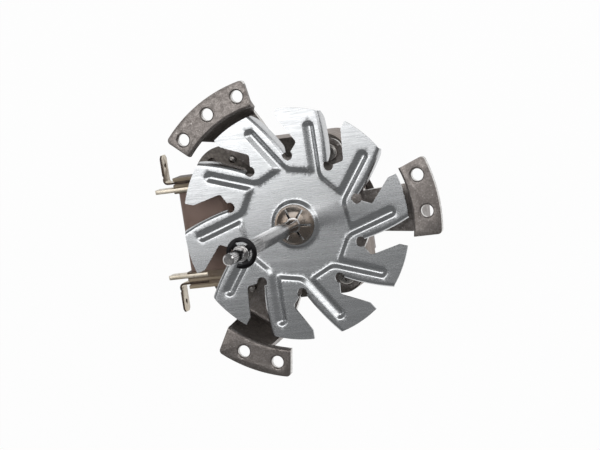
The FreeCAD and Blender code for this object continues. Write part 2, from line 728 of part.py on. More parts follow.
def pressing_wire(inset, z):
    """Outline of the plateau and its ribs, drawn in by inset."""
    step = 360.0 / BLADES
    half, apothem = RIB_HALF - inset, PLATEAU - inset
    points, radii = [], []
    for i in range(BLADES):
        rib = 90.0 - step * i
        last = rib + step
        edge_n = polar(1, PLATEAU_TURN - step * i)
        edge = ((edge_n.x * apothem, edge_n.y * apothem), (-edge_n.y, edge_n.x))
        for angle, off, radius in ((last, RIB_OFF + half, 0.9), (rib, RIB_OFF - half, 1.9)):
            along, side = polar(1, angle), polar(1, angle - 90)
            start = (side.x * off, side.y * off)
            points.append(line_meet(edge[0], edge[1], start, (along.x, along.y)))
            radii.append(radius)
        along, side = polar(1, rib), polar(1, rib - 90)
        far = RIB_END - inset
        for off in (RIB_OFF - half, RIB_OFF + half):
            points.append((along.x * far + side.x * off, along.y * far + side.y * off))
            radii.append(half * 0.97)
    return rounded_wire(points, radii, flat(z))


def pressing(z):
    """Shallow pan of the plateau and ribs, its rim at height z."""
    return Part.makeLoft([pressing_wire(0, z), pressing_wire(PRESS_SLOPE, z - PRESS_DEPTH)], True, True)


def flap_axis():
    """Centre of the bend line's curve, and its angles, in the blade's own axes."""
    (ax, ay), (bx, by) = FLAP_OUTER, FLAP_INNER
    mid, chord = ((ax + bx) / 2, (ay + by) / 2), math.dist(FLAP_OUTER, FLAP_INNER)
    away = unit(by - ay, ax - bx)
    drop = math.sqrt(FLAP_BOW ** 2 - (chord / 2) ** 2)
    if away[0] > 0:
        away = (-away[0], -away[1])
    centre = (mid[0] + away[0] * drop, mid[1] + away[1] * drop)
    outer = math.degrees(math.atan2(ay - centre[1], ax - centre[0]))
    inner = math.degrees(math.atan2(by - centre[1], bx - centre[0]))
    return centre, inner, outer


def flap():
    """Curved edge strip of a blade, turned back through a right angle."""
    centre, inner, outer = flap_axis()
    out, top = FLAP_BOW, FAN_FRONT
    bottom = top - FLAP_HEIGHT
    points = [
        (out - 3.2, top), (out, top), (out, bottom), (out - FAN_SHEET, bottom),
        (out - FAN_SHEET, top - FAN_SHEET), (out - 3.2, top - FAN_SHEET),
    ]
    face = Part.Face(rounded_wire(points, [0, FLAP_BEND + FAN_SHEET, 0, 0, FLAP_BEND, 0], in_section))
    strip = turned(face.revolve(O, Z, outer - inner), inner)
    span = math.radians(outer - inner) * FLAP_BOW
    corners = [
        (-1, top + 1), (span + 1, top + 1), (span, bottom + 3.2), (span - 2.6, bottom),
        (2.4, bottom), (0, bottom + 2.4),
    ]
    side = rounded_wire(corners, [0, 0, 1.2, 2.0, 2.0, 1.2], lambda p: vec(out + 2, p[0], p[1]))
    window = Part.Face(side).extrude(vec(-9, 0, 0))
    window.rotate(O, Z, inner)
    strip = strip.common(window)
    strip.translate(vec(centre[0], centre[1], 0))
    return strip


def slot_outline():
    """Opening between one blade's plain edge and the last blade's bend line."""
    step = 360.0 / BLADES
    centre, inner, outer = flap_axis()
    edge = [polar(FLAP_BOW, a) for a in (inner, (inner + outer) / 2, outer)]
    bend = []
    for p in edge:
        q = vec(p.x + centre[0], p.y + centre[1], 0)
        bend.append(turned(Part.Vertex(q), step).Point)
    past = polar(FAN_R + 2, math.degrees(math.atan2(bend[2].y, bend[2].x)) - 1.0)
    z = FAN_FRONT - 3
    points = [(SLOT_TOP[0], FAN_R + 1.5), SLOT_TOP, SLOT_BULGE, SLOT_ROOT, (bend[0].x, bend[0].y)]
    lines = rounded_corner_path(points, [0, 1.2, 1.3, 0, 0], z)
    arc = Part.Arc(*[vec(p.x, p.y, z) for p in bend]).toShape()
    rim = [Part.makeLine(vec(bend[2].x, bend[2].y, z), vec(past.x, past.y, z))]
    rim.append(Part.makeLine(vec(past.x, past.y, z), vec(points[0][0], points[0][1], z)))
    return Part.Wire(lines + [arc] + rim)


def rounded_corner_path(points, radii, z):
    """Open path through points with rounded corners, as a list of edges."""
    spots = [vec(x, y, z) for x, y in points]
    edges, last = [], spots[0]
    for i in range(1, len(spots) - 1):
        p, before, after = spots[i], spots[i - 1], spots[i + 1]
        if radii[i] <= 0:
            edges.append(Part.makeLine(last, p))
            last = p
            continue
        a, b = unit(before.x - p.x, before.y - p.y), unit(after.x - p.x, after.y - p.y)
        half = math.acos(a[0] * b[0] + a[1] * b[1]) / 2
        reach, inward = radii[i] / math.tan(half), unit(a[0] + b[0], a[1] + b[1])
        depth = radii[i] / math.sin(half) - radii[i]
        start, end = p + vec(*a) * reach, p + vec(*b) * reach
        edges.append(Part.makeLine(last, start))
        edges.append(Part.Arc(start, p + vec(*inward) * depth, end).toShape())
        last = end
    edges.append(Part.makeLine(last, spots[-1]))
    return edges


def fan_hub():
    """Raised boss that the push-on washer bears on."""
    front, back = BOSS_FRONT, BOSS_FRONT - FAN_SHEET
    points = [
        (SHAFT_R + 0.02, front), (BOSS_R, front), (BOSS_FOOT_R, PLATE_FRONT), (BOSS_FOOT_R + 2, PLATE_FRONT),
        (BOSS_FOOT_R + 2, PLATE_FRONT - FAN_SHEET), (BOSS_FOOT_R - 0.5, PLATE_FRONT - FAN_SHEET),
        (BOSS_R - 0.5, back), (SHAFT_R + 0.02, back),
    ]
    return revolved(points, [0, 0.7, 0.5, 0, 0, 0.2, 0.3, 0])


def cooling_fan():
    sheet = rod(FAN_R, FAN_FRONT - FAN_SHEET, FAN_FRONT)
    slot = Part.Face(slot_outline()).extrude(vec(0, 0, 6))
    relief = rod(RELIEF_R, FAN_FRONT - 3, FAN_FRONT + 3, *RELIEF_AT)
    bend_strip = blade_edge_strip()
    blank = sheet.cut(around(slot, BLADES) + around(relief, BLADES) + around(bend_strip, BLADES))
    blank = join([blank.fuse(pressing(FAN_FRONT - FAN_SHEET))]).cut(pressing(FAN_FRONT))
    blank = blank.cut(rod(BOSS_FOOT_R + 1, FAN_FRONT - 6, FAN_FRONT + 6))
    return join([blank, fan_hub()] + around(flap(), BLADES))


def blade_edge_strip():
    """Sheet that is replaced by the rounded bend of the flap."""
    centre, inner, outer = flap_axis()
    width = FLAP_BEND + FAN_SHEET
    points = rectangle(FLAP_BOW - width, FAN_FRONT - 2, FLAP_BOW + 4, FAN_FRONT + 2)
    face = Part.Face(rounded_wire(points, [0] * 4, in_section))
    strip = turned(face.revolve(O, Z, outer - inner), inner)
    strip.translate(vec(centre[0], centre[1], 0))
    return strip


def fan_collar():
    """Turned collar on the shaft that backs the fan hub."""
    back = FRONT_CUP_TOP + 1.0
    points = [
        (SHAFT_R, BOSS_FRONT - FAN_SHEET), (COLLAR_R, BOSS_FRONT - FAN_SHEET), (COLLAR_R, BOSS_FRONT - 3.2),
        (COLLAR_R - 1.6, back), (SHAFT_R, back),
    ]
    return revolved(points, [0, 0.3, 0.5, 0.3, 0])


def fan_washer():
    """Domed push-on washer with a crown of gripping tongues."""
    base, crown = BOSS_FRONT, BOSS_FRONT + STAR_RISE
    points = [
        (SHAFT_R, crown), (SHAFT_R, crown + STAR_SHEET), (STAR_R * 0.66, crown),
        (STAR_R - STAR_RIM, base + STAR_SHEET), (STAR_R, base + STAR_SHEET), (STAR_R, base),
        (STAR_R - STAR_RIM - 0.3, base), (STAR_R * 0.6, crown - STAR_SHEET),
    ]
    shape = revolved(points, [0, 0, 4, 0.5, 0.2, 0, 0.3, 4])
    length, width = STAR_SLOT
    slot = box(vec(SHAFT_R - 1, -width / 2, base - 1), vec(SHAFT_R + length, width / 2, crown + 3))
    return shape.cut(around(slot, STAR_SLOTS, 54.0))


def impeller_clip():
    """Flat clip with three prongs that snaps into the shaft groove."""
    low, high = CLIP_AT - CLIP_SHEET / 2.0, CLIP_AT + CLIP_SHEET / 2.0
    band = ring(CLIP_R, CLIP_R - CLIP_BAND, low, high)
    prongs = []
    for angle in (0.0, 105.0, -105.0):
        prong = box(vec(GROOVE_R - 1, -CLIP_PRONG / 2, low), vec(CLIP_R - 0.6, CLIP_PRONG / 2, high))
        prongs.append(turned(prong, angle))
    mouth = [(0, 0), (-3 * CLIP_R, 3 * CLIP_R * math.tan(math.radians(CLIP_GAP / 2)))]
    mouth.append((-3 * CLIP_R, -mouth[1][1]))
    wedge = plate(mouth, [0, 0, 0], low - 1, high + 1)
    shape = join([band.cut(wedge)] + prongs).cut(rod(GROOVE_R, low - 1, high + 1))
    return turned(shape, 30.0)


# Coil


def coil_limits(build_x, build_z):
    half_x = LEG / 2.0 + SLIP + BOBBIN_WALL + build_x
    half_z = STACK / 2.0 + SLIP + BOBBIN_WALL + build_z
    return (LEG_X - half_x, STACK_MID - half_z, LEG_X + half_x, STACK_MID + half_z)


def leg_space(length):
    half_x, half_z = LEG / 2.0 + SLIP, STACK / 2.0 + SLIP
    low = vec(LEG_X - half_x, -length, STACK_MID - half_z)
    return box(low, vec(LEG_X + half_x, length, STACK_MID + half_z))


def coil_bobbin():
    parts = [y_tube(coil_limits(0, 0), 1.0, -FLANGE_AT, FLANGE_AT)]
    build = coil_limits(WINDING_X + TAPE + FLANGE_LIP, WINDING_Z + TAPE + FLANGE_LIP)
    for side in (1, -1):
        y0, y1 = sorted((side * FLANGE_AT, side * (YOKE_IN - 0.2)))
        parts.append(y_tube(build, 2.0, y0, y1))
        parts += terminal_block(side, build[0] + 1.0, build[2] - 4.0)
    shape = join(parts).cut(leg_space(BLOCK_OUT + 5))
    return shape.cut(tab_slots())


def terminal_block(side, left, right):
    """Block beside a flange, with a rib on either side of the bent tab."""
    back, floor = STACK_FRONT + 0.3, TAB_FRONT
    pin_side, bent_side = PIN_Y + PIN_T, BENT_Y + TAB_T
    spans = [
        (FLANGE_AT, pin_side + 0.4, left - BLOCK_LEDGE, floor - 0.5),
        (pin_side, BLOCK_OUT, left, floor),
        (pin_side + 0.3, BENT_Y - 0.4, left, BLOCK_FRONT - BLOCK_RIB),
        (bent_side + 0.4, BLOCK_OUT, left, BLOCK_FRONT),
    ]
    pieces = []
    for inner, outer, start, front in spans:
        y0, y1 = sorted((side * inner, side * outer))
        pieces.append(y_tube((start, back, right, front), 0.8, y0, y1))
    return pieces


def tab_slots():
    """Pockets in the terminal blocks for the four tabs."""
    low, high = TAB_FRONT - TAB_W - 0.1, TAB_FRONT + 0.1
    slots = []
    for side in (1, -1):
        for y, thick in ((PIN_Y, PIN_T), (BENT_Y, TAB_T)):
            y0, y1 = sorted((side * (y - 0.05), side * (y + thick + 0.05)))
            slots.append(box(vec(-80, y0, low), vec(-TAB_ROOT + 0.1, y1, high)))
    return slots


def coil_winding():
    outer = y_tube(coil_limits(WINDING_X, WINDING_Z), COIL_ROUND, -FLANGE_AT, FLANGE_AT)
    return outer.cut(y_tube(coil_limits(0, 0), 1.0, -FLANGE_AT - 1, FLANGE_AT + 1))


def coil_tape():
    outer = y_tube(coil_limits(WINDING_X + TAPE, WINDING_Z + TAPE), COIL_ROUND + TAPE, -FLANGE_AT, FLANGE_AT)
    return outer.cut(y_tube(coil_limits(WINDING_X, WINDING_Z), COIL_ROUND, -FLANGE_AT - 1, FLANGE_AT + 1))


def terminal_straight(side):
    """Folded tab that points straight out from the coil."""
    low, high, nose = TAB_FRONT - TAB_W, TAB_FRONT, PIN_TIP - PIN_NOSE
    points = [
        (-PIN_TIP, low + PIN_NOSE), (-nose, low), (-TAB_ROOT, low), (-TAB_ROOT, high),
        (-nose, high), (-PIN_TIP, high - PIN_NOSE),
    ]
    y0, y1 = sorted((side * PIN_Y, side * (PIN_Y + PIN_T)))
    shape = Part.Face(rounded_wire(points, [0.2] * 6, along_y(y0))).extrude(vec(0, y1 - y0, 0))
    centre = vec(-PIN_TIP + TAB_HOLE_IN, y0 - 2, (low + high) / 2)
    return shape.cut(Part.makeCylinder(TAB_HOLE_R, PIN_T + 4, centre, vec(0, 1, 0)))


def terminal_bent(side):
    """Blade tab bent away from the shaft at a right angle."""
    low = TAB_FRONT - TAB_W
    points = [
        (-TAB_ROOT, BENT_Y), (-TAB_ROOT, BENT_Y + TAB_T), (-BENT_X + TAB_T, BENT_Y + TAB_T),
        (-BENT_X + TAB_T, BENT_TIP), (-BENT_X, BENT_TIP), (-BENT_X, BENT_Y),
    ]
    radii = [0, 0, BENT_IN, 0, 0, BENT_IN + TAB_T]
    shape = plate([(x, side * y) for x, y in points], radii, low, TAB_FRONT)
    centre = vec(-BENT_X - 2, side * (BENT_TIP - TAB_HOLE_IN), low + TAB_W / 2.0)
    cuts = [Part.makeCylinder(TAB_HOLE_R, 4, centre, vec(1, 0, 0))]
    length, depth = BENT_NICK
    y0, y1 = sorted(side * (BENT_Y + 2 * TAB_T + BENT_IN + step) for step in (0, length))
    cuts.append(box(vec(-BENT_X - 1, y0, TAB_FRONT - depth), vec(-BENT_X + 2, y1, TAB_FRONT + 1)))
    for z0, up in ((low, 1), (TAB_FRONT, -1)):
        tip = side * BENT_TIP
        corner = [(tip, z0), (tip - side * BENT_NOSE, z0), (tip, z0 + up * BENT_NOSE)]
        wire = Part.makePolygon([vec(-BENT_X - 1, y, z) for y, z in corner + corner[:1]])
        cuts.append(Part.Face(wire).extrude(vec(3, 0, 0)))
    return shape.cut(cuts)


def save(name, shape):
    shape.exportStep("parts/" + name + ".step")


os.makedirs("parts", exist_ok=True)

save("mounting_bracket", mounting_bracket())
save("stator_core", stator_core())
save("coil_core_leg", coil_leg())
save("shading_rings", shading_rings())
save("core_rivets", core_rivets())
save("frame_screws", frame_screws())
save("frame_nuts", frame_nuts())

save("front_bearing_cup", bearing_cup(DISH_FRONT, FRONT_CUP_TOP, 1))
save("front_cup_rivets", cup_rivets(DISH_FRONT, DISH_BACK, 1))
save("front_bearing", bush(FRONT_BUSH))
save("front_felt_ring", felt_ring(FRONT_BUSH))
save("front_bearing_clip", bush_clip(FRONT_BUSH, 1))
save("rear_bracket", rear_bracket())
save("rear_bearing", bush(REAR_BUSH))
save("rear_felt_ring", felt_ring(REAR_BUSH))
save("rear_bearing_clip", bush_clip(REAR_BUSH, -1))

save("shaft", shaft())
save("rotor_core", rotor_core())
save("rotor_cage", rotor_cage())
save("thrust_washers", thrust_washers())
save("cooling_fan", cooling_fan())
save("fan_collar", fan_collar())
save("fan_washer", fan_washer())
save("impeller_clip", impeller_clip())

save("coil_bobbin", coil_bobbin())
save("coil_winding", coil_winding())
save("coil_tape", coil_tape())
save("terminal_straight_upper", terminal_straight(1))
save("terminal_straight_lower", terminal_straight(-1))
save("terminal_bent_upper", terminal_bent(1))
save("terminal_bent_lower", terminal_bent(-1))
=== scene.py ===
import json
import math

import bmesh
import bpy
import numpy as np
from mathutils import Matrix, Quaternion, Vector
from mathutils.geometry import delaunay_2d_cdt

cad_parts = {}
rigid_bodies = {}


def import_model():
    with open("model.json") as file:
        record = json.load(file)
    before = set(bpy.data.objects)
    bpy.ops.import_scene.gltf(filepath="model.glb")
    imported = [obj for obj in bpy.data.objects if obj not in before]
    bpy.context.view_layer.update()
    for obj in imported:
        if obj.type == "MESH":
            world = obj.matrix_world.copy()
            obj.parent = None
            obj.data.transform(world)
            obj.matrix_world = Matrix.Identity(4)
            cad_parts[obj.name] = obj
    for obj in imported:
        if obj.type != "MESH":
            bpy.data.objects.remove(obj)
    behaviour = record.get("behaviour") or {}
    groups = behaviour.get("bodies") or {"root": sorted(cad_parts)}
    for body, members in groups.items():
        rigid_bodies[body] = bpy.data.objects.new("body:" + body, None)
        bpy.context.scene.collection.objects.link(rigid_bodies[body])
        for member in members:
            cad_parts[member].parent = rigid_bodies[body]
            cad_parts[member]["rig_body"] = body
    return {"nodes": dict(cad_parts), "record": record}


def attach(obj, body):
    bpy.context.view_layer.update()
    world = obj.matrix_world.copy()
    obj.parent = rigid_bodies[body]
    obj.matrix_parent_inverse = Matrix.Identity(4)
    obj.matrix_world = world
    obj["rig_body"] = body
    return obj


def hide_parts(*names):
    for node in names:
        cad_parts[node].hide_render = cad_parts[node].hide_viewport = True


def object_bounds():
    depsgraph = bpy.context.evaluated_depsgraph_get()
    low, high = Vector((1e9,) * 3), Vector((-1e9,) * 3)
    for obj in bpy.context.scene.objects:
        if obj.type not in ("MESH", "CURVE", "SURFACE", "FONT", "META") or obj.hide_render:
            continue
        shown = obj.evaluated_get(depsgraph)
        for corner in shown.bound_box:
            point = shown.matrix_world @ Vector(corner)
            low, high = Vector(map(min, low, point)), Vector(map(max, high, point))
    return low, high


# Oven fan motor: the finish of every surface, the stamped fan and the other
# pieces that need soft edges, the camera and a plain white studio.
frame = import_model()
cad_low, cad_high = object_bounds()
MM = 0.001

# Camera, from the fit to the photograph
AIM = Vector((2.14, -0.43, -5.0)) * MM
CAMERA_AZIMUTH = 110.815
CAMERA_ELEVATION = 71.0
CAMERA_ROLL = -118.45
CAMERA_DISTANCE = 813.79 * MM
LENS = 124.38

# Stamped fan, millimetres
FAN_FRONT = -5.0
FAN_SHEET = 0.8
FAN_R = 46.1
BLADES = 10
STEP = math.tau / BLADES
SHAFT_R = 3.0
PRESS_DEPTH = 1.1
PRESS_BLEND = (-0.2, 2.15)      # the pressing's soft slope, in from its edge
PLATEAU = 22.6
PLATEAU_TURN = math.radians(80.0)
RIB_OFF = 11.5
RIB_HALF = 2.4
RIB_START = 15.0                # inside the plateau
RIB_END = 39.9
RIB_FILLET = 1.5                # where ribs and plateau run together
RELIEF_R = 2.05
RELIEF_AT = (1.2, 27.4)
SLOT_TOP = (-0.95, 42.6)
SLOT_BULGE = (5.7, 32.2)
SLOT_ROOT = (2.6, 28.6)
SLOT_ROUNDS = (1.3, 1.2)        # radii of the slot's two corners
FLAP_BOW = 80.0                 # radius of each curved bend line
FLAP_OUTER = (16.5, 43.05)
FLAP_INNER = (17.0, 24.6)
FLAP_REACH = 1.6                # bend past its inner point, towards the relief hole
FLAP_TURN = 1.7                 # outer radius of the bend
FLAP_HEIGHT = 5.8
FLAP_ENDS = ((2.1, 1.5), (2.6, 1.23))   # lower edge at the inner and outer end: drop and slope
FLAP_ROUNDS = (0.8, 1.6)        # how softly those edges run together
BOSS_R = 8.4
BOSS_FOOT_R = 9.8
BOSS_RISE = 1.35
BOSS_SOFT = 0.15                # how far the hub's slope rounds out at each end
BOSS_FRONT = FAN_FRONT - PRESS_DEPTH + BOSS_RISE
SHAFT_ROOM = 0.02

# Mesh of the fan, millimetres and counts
OUTLINE_PITCH = 0.42
FINE_PITCH, COARSE_PITCH = 0.33, 1.2
FINE_REACH = (1.35, 1.1)        # fine mesh this near the middle of a pressed slope or the hub's
COARSE_REACH = (1.9, 1.6)       # coarse mesh from this far on
EDGE_CLEAR = 0.22               # inner points stay this far from the outline
WELD = 0.04
FLAP_STEPS = 44
BEND_STEPS, DROP_STEPS = 9, 10
FLAP_ROW = BEND_STEPS + DROP_STEPS + 1

# Shaft, millimetres
SHAFT_REAR, SHAFT_TIP = -66.0, 77.0
NECK = (BOSS_FRONT + 1.9, 10.2)
NECK_R = 2.65
SERRATION = (43.5, 59.0)
SERRATIONS = 16
SERRATION_DEPTH = 0.22
SERRATION_FACETS = 12           # facets of the shaft to each serration
CLIP_GROOVE = (61.15, 62.05)
GROOVE_R = 2.3
TIP_FOOT = 63.05
TIP_R = 2.15
SHAFT_CHAMFER = 0.5
SHOULDER = 0.9                  # length of the rounded shoulder
SHOULDER_STEPS = 6
BREAK = 0.1                     # broken edges at the clip groove
TIP_BREAKS = (0.2, 0.15)        # broken edge and fillet where the tip starts

# Sheet of the mounting bracket, and the terminal blocks' floor, below which the bobbin carries painted
# shade
BRACKET_SHEET = 2.5
CUT_EDGE = 1.04                 # a cut edge is no taller than this many sheets
BLOCK_FLOOR = (-18.3, -17.5)


# Direction of the fan sheet's rolling grain, degrees
GRAIN_TURN = 9.0

# Studio, metres, degrees and radiance
FLOOR_SIZE = 3.0
FLOOR_GAP = 0.002
FLOOR_GLOW = 0.97
ROOM_LEVEL = 0.2
KEY_TURN = 33.0                 # slant of the key's near edge in the picture
KEY_DISTANCE = 0.5
KEY_OVER = 0.03                 # hub's mirrored point to the key's near edge
KEY_SHIFT = 0.085
KEY_SIZE = (0.43, 0.26)
KEY_LEVEL = 2.3
LAMP_AIM = (0, 0, -0.02)
SIDE_LAMP = {"at": (0.45, 0.25, 0.30), "width": 0.3, "height": 0.5, "radiance": 1.6}
TOP_LAMP = {"at": (0.276, 0.141, 0.515), "width": 0.25, "height": 0.3, "radiance": 1.2}


def turn(point, angle):
    """A point turned round the shaft's axis."""
    c, s = math.cos(angle), math.sin(angle)
    return (c * point[0] - s * point[1], s * point[0] + c * point[1])


# Shader nodes


class Net:
    """A material and short calls that add and link its nodes."""

    def __init__(self, name):
        self.material = bpy.data.materials.new(name)
        self.material.use_nodes = True
        self.tree = self.material.node_tree
        self.shader = self.tree.nodes["Principled BSDF"]
        self.place = self.add("ShaderNodeTexCoord").outputs["Object"]

    def add(self, kind, inputs=None, **settings):
        node = self.tree.nodes.new(kind)
        for key, value in settings.items():
            setattr(node, key, value)
        for key, value in (inputs or {}).items():
            self.set(node.inputs[key], value)
        return node

    def set(self, socket, value):
        if isinstance(value, bpy.types.NodeSocket):
            self.tree.links.new(value, socket)
        else:
            socket.default_value = value

    def noise(self, scale, detail=4.0, rough=0.55, vector=None):
        values = {"Vector": vector or self.place, "Scale": scale, "Detail": detail, "Roughness": rough}
        return self.add("ShaderNodeTexNoise", values).outputs["Fac"]

    def stretched(self, scale, turn=(0, 0, 0)):
        values = {"Vector": self.place, "Scale": scale, "Rotation": [math.radians(a) for a in turn]}
        return self.add("ShaderNodeMapping", values).outputs["Vector"]

    def ramp(self, factor, stops):
        node = self.add("ShaderNodeValToRGB", {"Fac": factor})
        elements = node.color_ramp.elements
        while len(elements) < len(stops):
            elements.new(0.5)
        for element, (at, value) in zip(elements, stops):
            element.position = at
            element.color = colour(value)
        return node.outputs["Color"]

    def remap(self, value, low, high, to_low, to_high):
        values = {"Value": value, "From Min": low, "From Max": high, "To Min": to_low, "To Max": to_high}
        return self.add("ShaderNodeMapRange", values).outputs["Result"]

    def math(self, kind, a, b=0.0):
        node = self.add("ShaderNodeMath", operation=kind)
        for socket, value in zip(node.inputs, (a, b)):
            self.set(socket, value)
        return node.outputs[0]

    def mix(self, factor, a, b):
        node = self.add("ShaderNodeMix", data_type="RGBA")
        self.set(node.inputs[0], factor)
        self.set(node.inputs[6], colour(a))
        self.set(node.inputs[7], colour(b))
        return node.outputs[2]

    def bump(self, height, strength, distance, normal=None):
        values = {"Height": height, "Strength": strength, "Distance": distance}
        if normal:
            values["Normal"] = normal
        return self.add("ShaderNodeBump", values).outputs["Normal"]

    def finish(self, **inputs):
        for key, value in inputs.items():
            self.set(self.shader.inputs[key.replace("_", " ")], value)
        return self.material


def colour(value):
    """A grey level, an sRGB hex string or a ready colour as linear RGBA."""
    if isinstance(value, (bpy.types.NodeSocket, list)):
        return value
    if isinstance(value, str):
        parts = [int(value[i:i + 2], 16) / 255.0 for i in (0, 2, 4)]
        return [linear(p) for p in parts] + [1.0]
    return [value, value, value, 1.0]


def linear(level):
    return level / 12.92 if level <= 0.04045 else ((level + 0.055) / 1.055) ** 2.4


# Materials


def rolled_sheet():
    """Satin zinc sheet with a fine straight rolling grain."""
    net = Net("rolled_sheet")
    across = (0, 0, GRAIN_TURN)
    grain = net.noise(1.0, 2.0, 0.5, net.stretched((170, 3000, 300), across))
    wide = net.noise(1.0, 2.0, 0.5, net.stretched((40, 900, 60), across))
    cloud = net.noise(80.0, 3.0)
    specks = net.ramp(net.noise(1300.0, 2.0), [(0.72, 0.0), (0.78, 1.0)])
    tone = net.mix(net.remap(cloud, 0.3, 0.7, 0.0, 1.0), "c3c5c6", "cccdcf")
    tone = net.mix(net.remap(grain, 0.4, 0.7, 0.0, 0.5), tone, "adafb1")
    tone = net.mix(net.math("MULTIPLY", specks, 0.3), tone, "8e8f91")
    rough = net.remap(net.math("ADD", grain, wide), 0.7, 1.3, 0.22, 0.3)
    grain_way = turn((1.0, 0.0), -math.radians(GRAIN_TURN)) + (0.0,)
    along = net.add("ShaderNodeVectorTransform", {"Vector": grain_way})
    along.vector_type, along.convert_from, along.convert_to = "VECTOR", "OBJECT", "WORLD"
    net.set(net.shader.inputs["Tangent"], along.outputs[0])
    normal = net.bump(grain, 0.3, 0.00001)
    return net.finish(Base_Color=tone, Metallic=1.0, Roughness=rough, Anisotropic=0.4, Normal=normal)


def speckled_steel():
    """Bracket steel with a grainy, slightly brown skin and bright specks."""
    net = Net("speckled_steel")
    fine = net.noise(1500.0, 3.0, 0.6)
    medium = net.noise(420.0, 4.0, 0.6)
    cloud = net.noise(60.0, 4.0)
    tone = net.mix(net.remap(fine, 0.35, 0.65, 0.0, 1.0), "746d69", "a39c98")
    tone = net.mix(net.remap(medium, 0.42, 0.62, 0.0, 0.6), tone, "6b6460")
    tone = net.mix(net.remap(cloud, 0.35, 0.7, 0.0, 0.4), tone, "a19b97")
    pits = net.ramp(net.noise(1300.0, 2.0, 0.5), [(0.66, 0.0), (0.72, 1.0)])
    tone = net.mix(net.math("MULTIPLY", pits, 0.7), tone, "e4dfda")
    rough = net.remap(medium, 0.3, 0.7, 0.34, 0.5)
    normal = net.bump(net.math("ADD", fine, medium), 0.4, 0.00006)
    return net.finish(Base_Color=tone, Metallic=0.9, Roughness=rough, Normal=normal)


def sheared_edge():
    """Bare cut steel, brighter than the skin, with the marks of the shear."""
    net = Net("sheared_edge")
    lines = net.noise(1.0, 3.0, 0.5, net.stretched((900, 900, 120)))
    marks = net.noise(500.0, 3.0)
    tone = net.mix(net.remap(lines, 0.35, 0.65, 0.0, 1.0), "bdb9b6", "dedcd9")
    tone = net.mix(net.remap(marks, 0.5, 0.75, 0.0, 0.5), tone, "8b8681")
    rough = net.remap(marks, 0.3, 0.7, 0.18, 0.32)
    normal = net.bump(lines, 0.25, 0.00003)
    return net.finish(Base_Color=tone, Metallic=1.0, Roughness=rough, Normal=normal)


# Dark brown colour for the bent tabs' cut edges that look to the front
def dark_tab_edge():
    """Dark brown cut edge of a tab."""
    net = Net("dark_tab_edge")
    marks = net.noise(700.0, 4.0)
    tone = net.mix(net.remap(marks, 0.35, 0.65, 0.0, 1.0), "2a211b", "5a493c")
    normal = net.bump(marks, 0.2, 0.00002)
    return net.finish(Base_Color=tone, Metallic=0.5, Roughness=0.42, Normal=normal)


def laminations():
    """Stacked sheets: fine lines round the sides, grey-brown skin on the faces."""
    net = Net("laminations")
    parts = net.add("ShaderNodeSeparateXYZ", {"Vector": net.place})
    sheets = net.math("MULTIPLY", parts.outputs["Z"], math.tau / (0.5 * MM))
    lines = net.remap(net.math("SINE", sheets), -1.0, 1.0, 0.0, 1.0)
    facing = net.add("ShaderNodeNewGeometry")
    up = net.add("ShaderNodeSeparateXYZ", {"Vector": facing.outputs["Normal"]}).outputs["Z"]
    side = net.remap(net.math("ABSOLUTE", up), 0.5, 0.9, 1.0, 0.0)
    fine = net.noise(900.0, 3.0)
    per_sheet = net.noise(1.0, 1.0, 0.5, net.stretched((20, 20, 2000)))
    face_tone = net.mix(net.remap(fine, 0.35, 0.65, 0.0, 1.0), "5d5853", "7d7670")
    side_tone = net.mix(net.remap(per_sheet, 0.35, 0.65, 0.0, 1.0), "8d7f76", "bcafa6")
    side_tone = net.mix(net.remap(lines, 0.0, 0.35, 0.75, 0.0), side_tone, "453c37")
    tone = net.mix(side, face_tone, side_tone)
    height = net.math("MULTIPLY", lines, side)
    rough_side = net.bump(height, 0.5, 0.00008)
    normal = net.bump(fine, 0.25, 0.00004, rough_side)
    return net.finish(Base_Color=tone, Metallic=0.6, Roughness=0.46, Normal=normal)


def polished_steel():
    """Ground shaft with faint turning marks."""
    net = Net("polished_steel")
    rings = net.noise(1.0, 3.0, 0.5, net.stretched((40, 40, 4200)))
    marks = net.noise(700.0, 3.0)
    tone = net.mix(net.remap(rings, 0.35, 0.65, 0.0, 1.0), "b3b1b0", "c8c6c5")
    tone = net.mix(net.remap(marks, 0.62, 0.78, 0.0, 0.5), tone, "7d7a78")
    rough = net.remap(marks, 0.3, 0.7, 0.08, 0.18)
    normal = net.bump(rings, 0.08, 0.00001)
    return net.finish(Base_Color=tone, Metallic=1.0, Roughness=rough, Normal=normal)


def dark_spring():
    """Black oiled spring steel, rubbed brighter on its high spots."""
    net = Net("dark_spring")
    marks = net.noise(520.0, 4.0)
    tone = net.mix(net.remap(marks, 0.5, 0.8, 0.0, 0.45), "141315", "3a3839")
    rough = net.remap(marks, 0.3, 0.7, 0.26, 0.42)
    normal = net.bump(marks, 0.2, 0.00003)
    return net.finish(Base_Color=tone, Metallic=0.75, Roughness=rough, Normal=normal)


def tinted_spring():
    """Hardened spring steel with a faint bronze heat tint."""
    net = Net("tinted_spring")
    marks = net.noise(420.0, 4.0)
    tint = net.noise(120.0, 2.0)
    tone = net.mix(net.remap(tint, 0.35, 0.65, 0.0, 1.0), "857e78", "928478")
    tone = net.mix(net.remap(marks, 0.55, 0.75, 0.0, 0.4), tone, "5b524c")
    rough = net.remap(marks, 0.3, 0.7, 0.2, 0.34)
    normal = net.bump(marks, 0.15, 0.00003)
    return net.finish(Base_Color=tone, Metallic=1.0, Roughness=rough, Normal=normal)


